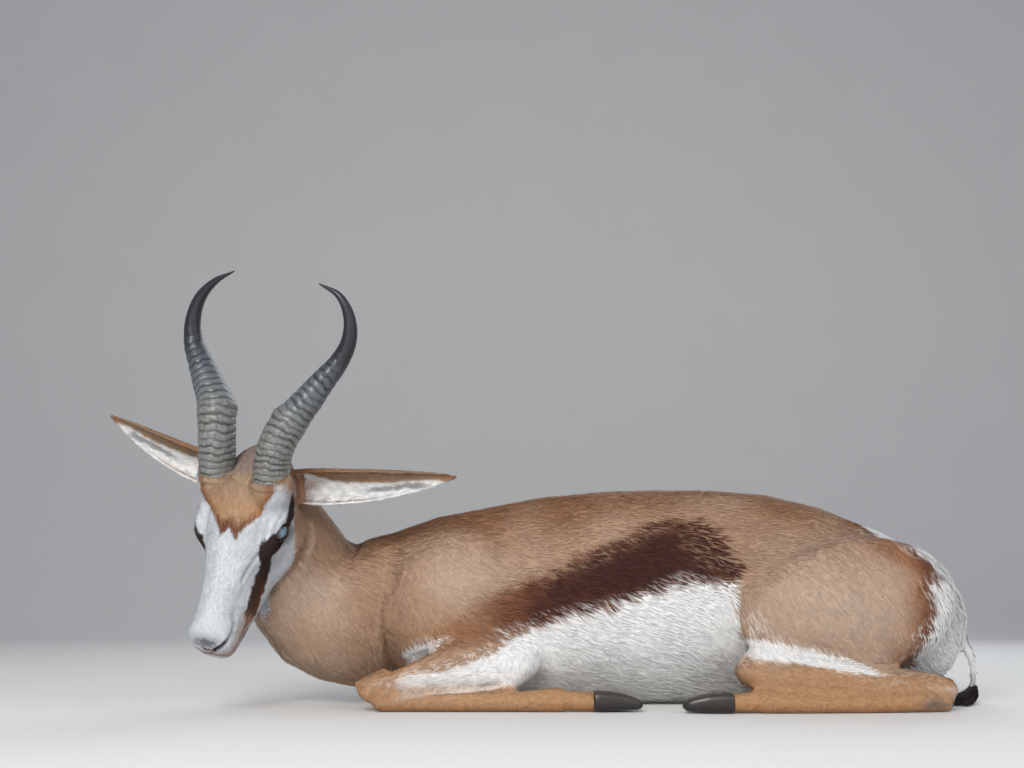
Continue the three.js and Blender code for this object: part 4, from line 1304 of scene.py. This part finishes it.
def build_eye(side):
    points, faces = ball_form(np.zeros(3), 1.0, 64)
    along, high, out = (points @ axis for axis in eye_frame(side))
    spread = np.degrees(np.arccos(np.clip(out, -1, 1)))
    radius = EYE_RADIUS + 0.9 * ramp(46, 20, spread)
    pupil = np.hypot(along / 0.50, high / 0.33)
    # The blue-grey over the pupil is a painted reflection
    painted_reflection = mixed(rgb(108, 136, 152), rgb(70, 92, 108), ramp(0.2, 1.0, pupil))
    colour = layered(
        rgb(52, 30, 18),
        (rgb(20, 12, 9), ramp(24, 40, spread)),
        (rgb(16, 11, 10), ramp(42, 48, spread)),
        (painted_reflection, ramp(1.1, 0.8, pupil) * (out > 0)),
    )
    place = from_head(sided(EYE_CENTRE, side) + points * radius[:, None])
    piece = add_object(f"eyeball_{TAG[side]}", place, faces, colour)
    return finished(piece, EYE_FINISH, "eye", f"eye_{TAG[side]}")


def on_eye(side, along, high, radius):
    """Points on a sphere round the eye, placed by their distance along the eye and height."""
    forward, lift, gaze = eye_frame(side)
    out = np.sqrt(np.maximum(radius**2 - along**2 - high**2, 1.0))
    local = along[:, None] * forward + high[:, None] * lift + out[:, None] * gaze
    return sided(EYE_CENTRE, side) + local


def build_lids(side):
    """The lids' dark edge: a rounded band on the eyeball that runs into the skin."""
    along, high = almond(np.linspace(0, 2 * math.pi, 97)[:-1])
    profile = [(0.94, 14.0), (0.97, 15.2), (1.02, 16.2), (1.10, 16.8),
               (1.20, 16.6), (1.26, 15.4), (1.2, 13.6), (1.0, 13.2)]
    rings = np.stack([on_eye(side, along * k, high * k, radius) for k, radius in profile], axis=1)
    quads = ring_quads(*rings.shape[:2], looped=True)[:, ::side]
    place = from_head(rings.reshape(-1, 3))
    piece = add_object(f"lids_{TAG[side]}", place, quads, np.broadcast_to(DARK_SKIN, place.shape))
    return finished(piece, LID_FINISH, "coat_white")


# Hooves

def claw_form(x, y, z, lean, heading):
    """A pointed claw as in the solids; heading 1 points to +X and -1 to -X."""
    stations = [(x + heading * share * CLAW_LENGTH, y + heading * lean * share, z + drop,
                 wide * CLAW_WIDTH, high) for share, drop, wide, high in CLAW_ROWS]
    return lofted(stations, 28, 24, ends=(0.08, 0.14), power=2.6)


def build_claws():
    for end, spread, x, z, heading in (("fore", FORE_SPREAD * 1.28, -124, 12.5, 1),
                                       ("hind", HIND_SPREAD * 1.3, 26, 12, -1)):
        for side in (-1, 1):
            for which, offset in (("in", -8.5), ("out", 8.5)):
                y = side * (spread + offset)
                points, faces = claw_form(x, y, z, -offset * side * 0.4 * heading, heading)
                shade = mixed(rgb(58, 50, 44), rgb(26, 22, 20), ramp(20, 4, points[:, 2]))
                node = f"{end}_{TAG[-side]}_claw_{which}"
                piece = add_object(f"{node}_hoof", points, faces, shade)
                finished(piece, HOOF_FINISH, "hoof", node)


# Hair: every tuft or strand is a thin closed blade that narrows to a point

def blades(paths, facing, wide, high):
    """Points and triangles of blades along paths of shape (number, steps, 3)."""
    number, steps = paths.shape[:2]
    wide, high = (np.broadcast_to(size, number)[:, None] for size in (wide, high))
    tangent = unit(np.gradient(paths, axis=1))
    across = unit(np.cross(tangent, facing[:, None]))
    share = np.linspace(0.0, 1.0, steps)
    girth = np.where(share < 0.4, 0.75 + 0.62 * share, 1.0) * (1.0 - share**2.2)
    side = across * (0.5 * wide * girth)[..., None]
    top = facing[:, None] * (high * girth)[..., None]
    rings = np.stack([paths - side, paths + side, paths + top], axis=2)[:, :-1]
    points = np.concatenate([rings.reshape(number, -1, 3), paths[:, -1:]], axis=1)
    size = points.shape[1]
    faces = [[0, 1, 2]]
    for step in range(steps - 2):
        for corner in range(3):
            a, b = 3 * step + corner, 3 * step + (corner + 1) % 3
            faces += [[a, b + 3, b], [a, a + 3, b + 3]]
    last = 3 * (steps - 2)
    faces += [[last + 1, last, size - 1], [last + 2, last + 1, size - 1], [last, last + 2, size - 1]]
    faces = np.array(faces) + (size * np.arange(number))[:, None, None]
    return points.reshape(-1, 3), faces.reshape(-1, 3), size


def along_share(steps):
    """Each blade point's place between root and tip, in the order of its points."""
    return np.append(np.repeat(np.arange(steps - 1) / (steps - 1), 3), 1.0)


def hair_piece(name, paths, facing, wide, high, colour, patch, slot):
    """One mesh of blades, painted darker at the root as painted shade and lighter to the tip, each with its
    own patch in the OFBake map.
    """
    points, faces, size = blades(paths, facing, wide, high)
    points[:, 2] = np.maximum(points[:, 2], HAIR_FLOOR_GAP)
    share = along_share(paths.shape[1])
    # Painted shade: each blade darker at its root than at its tip, for depth in the coat
    shade = 0.92 + 0.12 * share
    colours = bounded(colour[:, None] * shade[None, :, None]).reshape(-1, 3)
    piece = add_object(name, points, faces, colours)
    tilt = unit(facing + rng.normal(0, 0.1, facing.shape))
    piece.data.normals_split_custom_set_from_vertices(np.repeat(tilt, size, axis=0).tolist())
    corner = np.append(np.tile([-0.5 * PATCH_SIZE, 0.5 * PATCH_SIZE, 0.0], paths.shape[1] - 1), 0.0)
    offset = np.stack([corner, PATCH_SIZE * share - 0.5 * PATCH_SIZE], axis=1)
    place = (patch[:, None] + offset[None]).reshape(-1, 2)
    layer = piece.data.uv_layers.new(name="OFBake")
    layer.data.foreach_set("uv", place[faces.ravel()].astype(np.float32).ravel())
    return finished(piece, TUFT_FINISH, slot)


def nearest_on(tree, places):
    """For each place the nearest spot on a surface and the number of the face it lies on."""
    found = [tree.find_nearest(place) for place in places.tolist()]
    return np.array([hit[0][:] for hit in found]), np.array([hit[2] for hit in found])


class SkinMap:
    """The finished skin as arrays: its triangles, normals, nearest points and its own unwrap."""

    def __init__(self, piece):
        mesh = piece.data
        mesh.calc_loop_triangles()
        self.triangles = field_of(mesh.loop_triangles, "vertices", 3, np.int32)
        self.points = mesh_points(mesh)
        self.normals = mesh_normals(mesh)
        self.tree = BVHTree.FromPolygons(self.points.tolist(), self.triangles.tolist())
        self.build_unwrap(mesh)

    def build_unwrap(self, skin_mesh):
        copy = linked("copy", skin_mesh.copy())
        mesh = decimated(copy, UNWRAP_TRIANGLES, len(self.triangles))
        helper = linked("unwrap", mesh)
        bpy.context.view_layer.objects.active = helper
        helper.select_set(True)
        bpy.ops.object.mode_set(mode="EDIT")
        bpy.ops.mesh.select_all(action="SELECT")
        bpy.ops.uv.smart_project(angle_limit=math.radians(66), island_margin=0.003)
        bpy.ops.object.mode_set(mode="OBJECT")
        mesh.calc_loop_triangles()
        self.map_points = mesh_points(mesh)
        self.map_corners = np.array([t.vertices[:] for t in mesh.loop_triangles])
        loops = np.array([t.loops[:] for t in mesh.loop_triangles])
        self.map_places = field_of(mesh.uv_layers.active.data, "uv", 2)[loops]
        self.map_tree = BVHTree.FromPolygons(self.map_points.tolist(), self.map_corners.tolist())
        bpy.data.objects.remove(helper)
        bpy.data.meshes.remove(mesh)

    def nearest(self, places):
        """For each place the nearest point of the skin and the normal there."""
        spots, faces = nearest_on(self.tree, places)
        return spots, unit(self.normals[self.triangles[faces]].mean(axis=1))

    def patches(self, places):
        """Each place's spot on the unwrap."""
        spots, faces = nearest_on(self.map_tree, places)
        a, b, c = (self.map_points[self.map_corners[faces, k]] for k in range(3))
        whole = np.cross(b - a, c - a)
        size = np.maximum((whole**2).sum(1), 1e-9)
        second = (np.cross(spots - a, c - a) * whole).sum(1) / size
        third = (np.cross(b - a, spots - a) * whole).sum(1) / size
        weights = bounded(np.stack([1 - second - third, second, third], axis=1))
        return (self.map_places[faces] * weights[..., None]).sum(1)

    def scattered(self, density):
        """Random spots on the skin; density gives how many to a square millimetre at given points."""
        a, b, c = (self.points[self.triangles[:, k]] for k in range(3))
        area = 0.5 * np.linalg.norm(np.cross(b - a, c - a), axis=1)
        count = rng.poisson(area * density((a + b + c) / 3.0))
        corners = self.triangles[np.repeat(np.arange(len(area)), count)]
        r, s = rng.random((2, len(corners)))
        flip = r + s > 1
        r, s = np.where(flip, 1 - r, r), np.where(flip, 1 - s, s)
        weights = np.stack([1 - r - s, r, s], axis=1)[..., None]
        return (self.points[corners] * weights).sum(1), unit((self.normals[corners] * weights).sum(1))


# Coat

def coat_shares(points, gaps):
    """How far each point belongs to each part of the coat."""
    trunk = bone_mask(gaps, *TRUNK_BONES)
    white_rump = bone_mask(gaps, "rump", "croup", "hip") * ramp(-4, 6, rump_edge(points))
    neck = bone_mask(gaps, *NECK_BONES)
    cheek = ramp(24, 8, gaps[:, :len(HEAD_BONES)].min(axis=1))
    shares = {
        "belly": trunk * ramp(96, 116, trunk_angle(points)),
        "rump": white_rump,
        "neck": neck * (1 - 0.8 * cheek),
        "upper_leg": bone_mask(gaps, "blade", "arm_", "thigh", "hip") * (1 - white_rump),
        "lower_leg": bone_mask(gaps, "forearm", "gaskin"),
        "cannon": bone_mask(gaps, "cannon", "pastern", "knee"),
        "dock": bone_mask(gaps, "dock", "tail_end"),
        "face": bone_mask(gaps, "face"),
        "skull": bone_mask(gaps, "skull") + 0.8 * cheek * neck,
        "muzzle": bone_mask(gaps, "muzzle"),
        "ear": bone_mask(gaps, "ear_"),
    }
    shares["trunk"] = bounded(1 - sum(shares.values()))
    table = np.stack([shares[name] for name in COAT], axis=1)
    return table / table.sum(1, keepdims=True)


def bare(points):
    """1 where no hair grows: inside the lids and nostrils, under the horns and on the floor."""
    place = folded(to_head(points))
    x, side, z = place.T
    eye = np.linalg.norm(place - EYE_CENTRE, axis=1) < BARE_EYE
    nostril = muzzle_gap(place, NOSTRIL_LINE) < BARE_NOSTRIL
    lips = muzzle_gap(place, MOUTH_LINE) < BARE_LIPS
    pad = spot((x, 140, 8), (z, -9, 8), (side, 0, 10)) > 0.5
    horn = to_path(place, horn_line(1)[:3])[0] < BARE_HORN
    return eye | nostril | lips | pad | horn | (points[:, 2] < BARE_FLOOR)


def coat_density(points):
    each = coat_shares(points, bone_gaps(points)) @ COAT_SIZES[3]
    return COAT_DENSITY * 0.01 * each * ~bare(points)


def fold_shortness(points):
    """The hair is shorter in the fold between shoulder and forearm and along the jaw's lower edge."""
    armpit = to_path(points[:, [0, 2]], [(-376, 58), (-350, 67), (-312, 87)])[0]
    near_armpit = spot((armpit, 0, 14)) * (np.abs(points[:, 1]) > 55)
    place = to_head(points)
    jaw = to_path(place[:, [0, 2]], [(52, -66), (77, -82), (95, -104)])[0]
    near_jaw = spot((jaw, 0, 14)) * (np.abs(place[:, 1]) < 60)
    return 1.0 - 0.6 * np.maximum(near_armpit, near_jaw)


def build_coat(surface):
    roots, normals = surface.scattered(coat_density)
    gaps = bone_gaps(roots)
    shares = coat_shares(roots, gaps)
    length, wide, height = (shares @ sizes for sizes in COAT_SIZES[:3])
    length *= rng.uniform(0.7, 1.25, len(roots)) * fold_shortness(roots)
    wide *= rng.uniform(0.8, 1.2, len(roots)) * TUFT_WIDENING
    height *= rng.uniform(0.5, 1.3, len(roots))
    flow = hair_direction(roots, normals, gaps)
    across = np.cross(normals, flow)
    sway = 0.16 * ripple(roots, 30, 41) + rng.normal(0, 0.13, len(roots))
    way = unit(flow + across * sway[:, None])
    middle, middle_normal = surface.nearest(roots + way * (0.5 * length)[:, None])
    tip, tip_normal = surface.nearest(roots + way * length[:, None])
    paths = np.stack([
        roots - normals * ROOT_DEPTH,
        middle + middle_normal * (0.55 * height)[:, None],
        tip + tip_normal * height[:, None],
    ], axis=1)
    colour = painted(roots, normals, gaps) * rng.uniform(0.93, 1.06, len(roots))[:, None]
    patch = surface.patches(roots)
    kept = np.flatnonzero((tip_normal * normals).sum(1) > TUFT_TURN_LIMIT)
    order = kept[np.argsort(roots[kept, 0], kind="stable")]
    for number, start in enumerate(range(0, len(order), TUFTS_IN_PIECE)):
        part = order[start:start + TUFTS_IN_PIECE]
        hair_piece(f"coat_{number + 1:02d}", paths[part], normals[part], wide[part],
                   TUFT_THICKNESS * wide[part], colour[part], patch[part], "coat_tan")


def build_horn_collar(surface, side):
    """The hair that stands up round a horn's root and hides where it leaves the skin."""
    number = COLLAR_HAIRS
    line = spline(horn_line(side), 200, even=True)
    axis = unit(line[16] - line[0])
    ahead = square_to(HORN_FRONT, axis)
    angle = rng.uniform(0.0, 2.0 * math.pi, number)
    c, s = np.cos(angle), np.sin(angle)
    radial = c[:, None] * np.cross(axis, ahead) + s[:, None] * ahead
    radius = np.hypot(c * HORN_WIDTH, s * HORN_DEPTH) * 0.5
    base = line[0] - COLLAR_DROP * axis
    start = base + radial * (radius + rng.uniform(0.5, 6.0, number))[:, None] - axis * 2.0
    roots, normals = surface.nearest(from_head(start))
    foot = to_head(roots)
    rise = rng.uniform(3.0, 11.0, number)[:, None]
    on_horn = base + radial * (radius + 2.2)[:, None]
    level = ((foot - on_horn) @ axis)[:, None]
    sway = rng.normal(0, 1.5, number)[:, None] * np.cross(axis, radial)
    middle = on_horn + axis * (level + 0.5 * rise) + radial * 1.2 + 0.5 * sway
    tip = on_horn + axis * (level + rise) + sway
    colour = painted(roots, normals) * rng.uniform(0.85, 1.05, number)[:, None]
    hair_piece(f"collar_{TAG[side]}", head_paths(foot, middle, tip), unit(radial @ HEAD_AXES.T),
               rng.uniform(0.8, 1.3, number), 0.3, colour, surface.patches(roots), "coat_tan")


def build_lashes(surface, side):
    """Dark lashes along the upper lid."""
    angle = np.linspace(0.35, math.pi - 0.3, LASHES) + rng.normal(0, 0.01, LASHES)
    along, high = almond(angle)
    forward, lift, gaze = eye_frame(side)
    roots = on_eye(side, along * 1.1, high * 1.1, 16.6)
    out = unit(gaze + 0.9 * lift + np.outer(along / 20.0, forward))
    length = rng.uniform(4.5, 7.5, LASHES)[:, None]
    paths = head_paths(roots, roots + out * 0.5 * length, roots + out * length + lift * 0.25 * length)
    facing, colour = (np.tile(row, (LASHES, 1)) for row in (lift @ HEAD_AXES.T, DARK_SKIN))
    hair_piece(f"lashes_{TAG[side]}", paths, facing, 0.35, 0.2, colour,
               surface.patches(paths[:, 0]), "coat_white")


def build_tail_tuft(surface):
    """The tail's dark end: long strands in the same flat locks as the solids', laid on the floor."""
    share = np.linspace(0.0, 1.0, 7)
    paths = []
    for index in range(TAIL_LOCKS):
        turn = (index / (TAIL_LOCKS - 1) - 0.5) * 1.3
        length = TAIL_TUFT_LENGTH * (0.8 + 0.2 * math.cos(2.1 * index))
        heading = unit([-math.cos(turn) * 0.75, -0.65 + 0.5 * math.sin(turn), 0.0])
        beside = np.array([-heading[1], heading[0], 0.0])
        for _ in range(LOCK_STRANDS):
            reach = length * rng.uniform(0.6, 1.02)
            aside = rng.uniform(-5.0, 5.0) * (1 - 0.7 * share**1.5) + rng.normal(0, 2.5) * share**2
            height = 6 + 3 * (index % 3) + rng.uniform(-3, 4)
            drop = np.maximum(1.2 + rng.uniform(0, 2.0), height + 6 - 13 * share**0.8)
            path = TAIL_TUFT_PLACE + np.outer(share * reach, heading) + np.outer(aside, beside)
            path[:, 2] = drop
            paths.append(path)
    paths = np.array(paths)
    number = len(paths)
    facing = unit(np.column_stack([rng.normal(0, 0.3, (number, 2)), np.ones(number)]))
    colour = TUFT_DARK * rng.uniform(0.7, 1.5, number)[:, None]
    hair_piece("tail_tuft", paths, facing, rng.uniform(0.7, 1.3, number), 0.5, colour,
               surface.patches(paths[:, 0]), "coat_orange")


# Floor, light and camera

def build_floor():
    """A pale floor that curves up into a backdrop far behind."""
    half, near, far, radius, top = 9000.0, -6000.0, 2600.0, 1800.0, 6000.0
    profile = [(near, 0.0), (far, 0.0)]
    for step in range(1, 13):
        turn = math.radians(90 * step / 12)
        profile.append((far + radius * math.sin(turn), radius * (1 - math.cos(turn))))
    profile.append((far + radius, top))
    points = np.array([(x, y, z) for y, z in profile for x in (-half, half)])
    faces = [[2 * k, 2 * k + 1, 2 * k + 3, 2 * k + 2] for k in range(len(profile) - 1)]
    floor = add_object("floor", points, faces)
    made, tree, shader = new_material("floor")
    tint = tree.nodes.new("ShaderNodeMix")
    tint.data_type = "RGBA"
    colour = rgb(238, 237, 234)
    put(tint, {"A": (*colour, 1), "B": (*(colour * 0.96), 1)})
    tree.links.new(noise(tree, 3.0), tint.inputs["Factor"])
    tree.links.new(tint.outputs["Result"], shader.inputs["Base Color"])
    put(shader, {"Roughness": 0.8})
    floor.data.materials.append(made)


def area_light(name, place, size, power, colour):
    """A square light that looks at the animal's middle."""
    data = bpy.data.lights.new(name, "AREA")
    data.size = size
    data.energy = power
    data.color = colour
    lamp = linked(name, data)
    lamp.location = np.array(place) * MM
    aim = unit(np.array([-150.0, -60.0, 140.0]) - place)
    lamp.rotation_euler = Vector(aim).to_track_quat("-Z", "Y").to_euler()


def build_light():
    area_light("key", (-900, -2500, 1500), 1.3, 60, (1.0, 0.99, 0.97))
    area_light("fill", (1700, -1900, 900), 2.2, 16, (0.94, 0.97, 1.0))
    area_light("back", (600, 1700, 1900), 1.8, 20, (0.92, 0.96, 1.0))
    world = bpy.data.worlds.new("studio")
    world.use_nodes = True
    put(world.node_tree.nodes["Background"], {"Color": (0.86, 0.9, 1.0, 1), "Strength": 0.33})
    bpy.context.scene.world = world
    bpy.context.scene.view_settings.view_transform = "Standard"


def build_camera():
    data = bpy.data.cameras.new("camera")
    data.sensor_width = SENSOR_WIDTH
    data.lens = SENSOR_WIDTH * FOCAL_PIXELS / PICTURE_WIDTH
    data.clip_end = 100.0
    camera = linked("camera", data)
    camera.location = np.array(CAMERA_PLACE) * MM
    camera.rotation_euler = (math.radians(90 + CAMERA_PITCH), 0, 0)
    bpy.context.scene.camera = camera


build_camera()
build_floor()
build_light()
skin = build_skin()
for side in SIDES:
    build_horn(side)
    build_eye(side)
    build_lids(side)
build_claws()
surface = SkinMap(skin)
build_coat(surface)
for side in SIDES:
    build_horn_collar(surface, side)
    build_lashes(surface, side)
build_tail_tuft(surface)
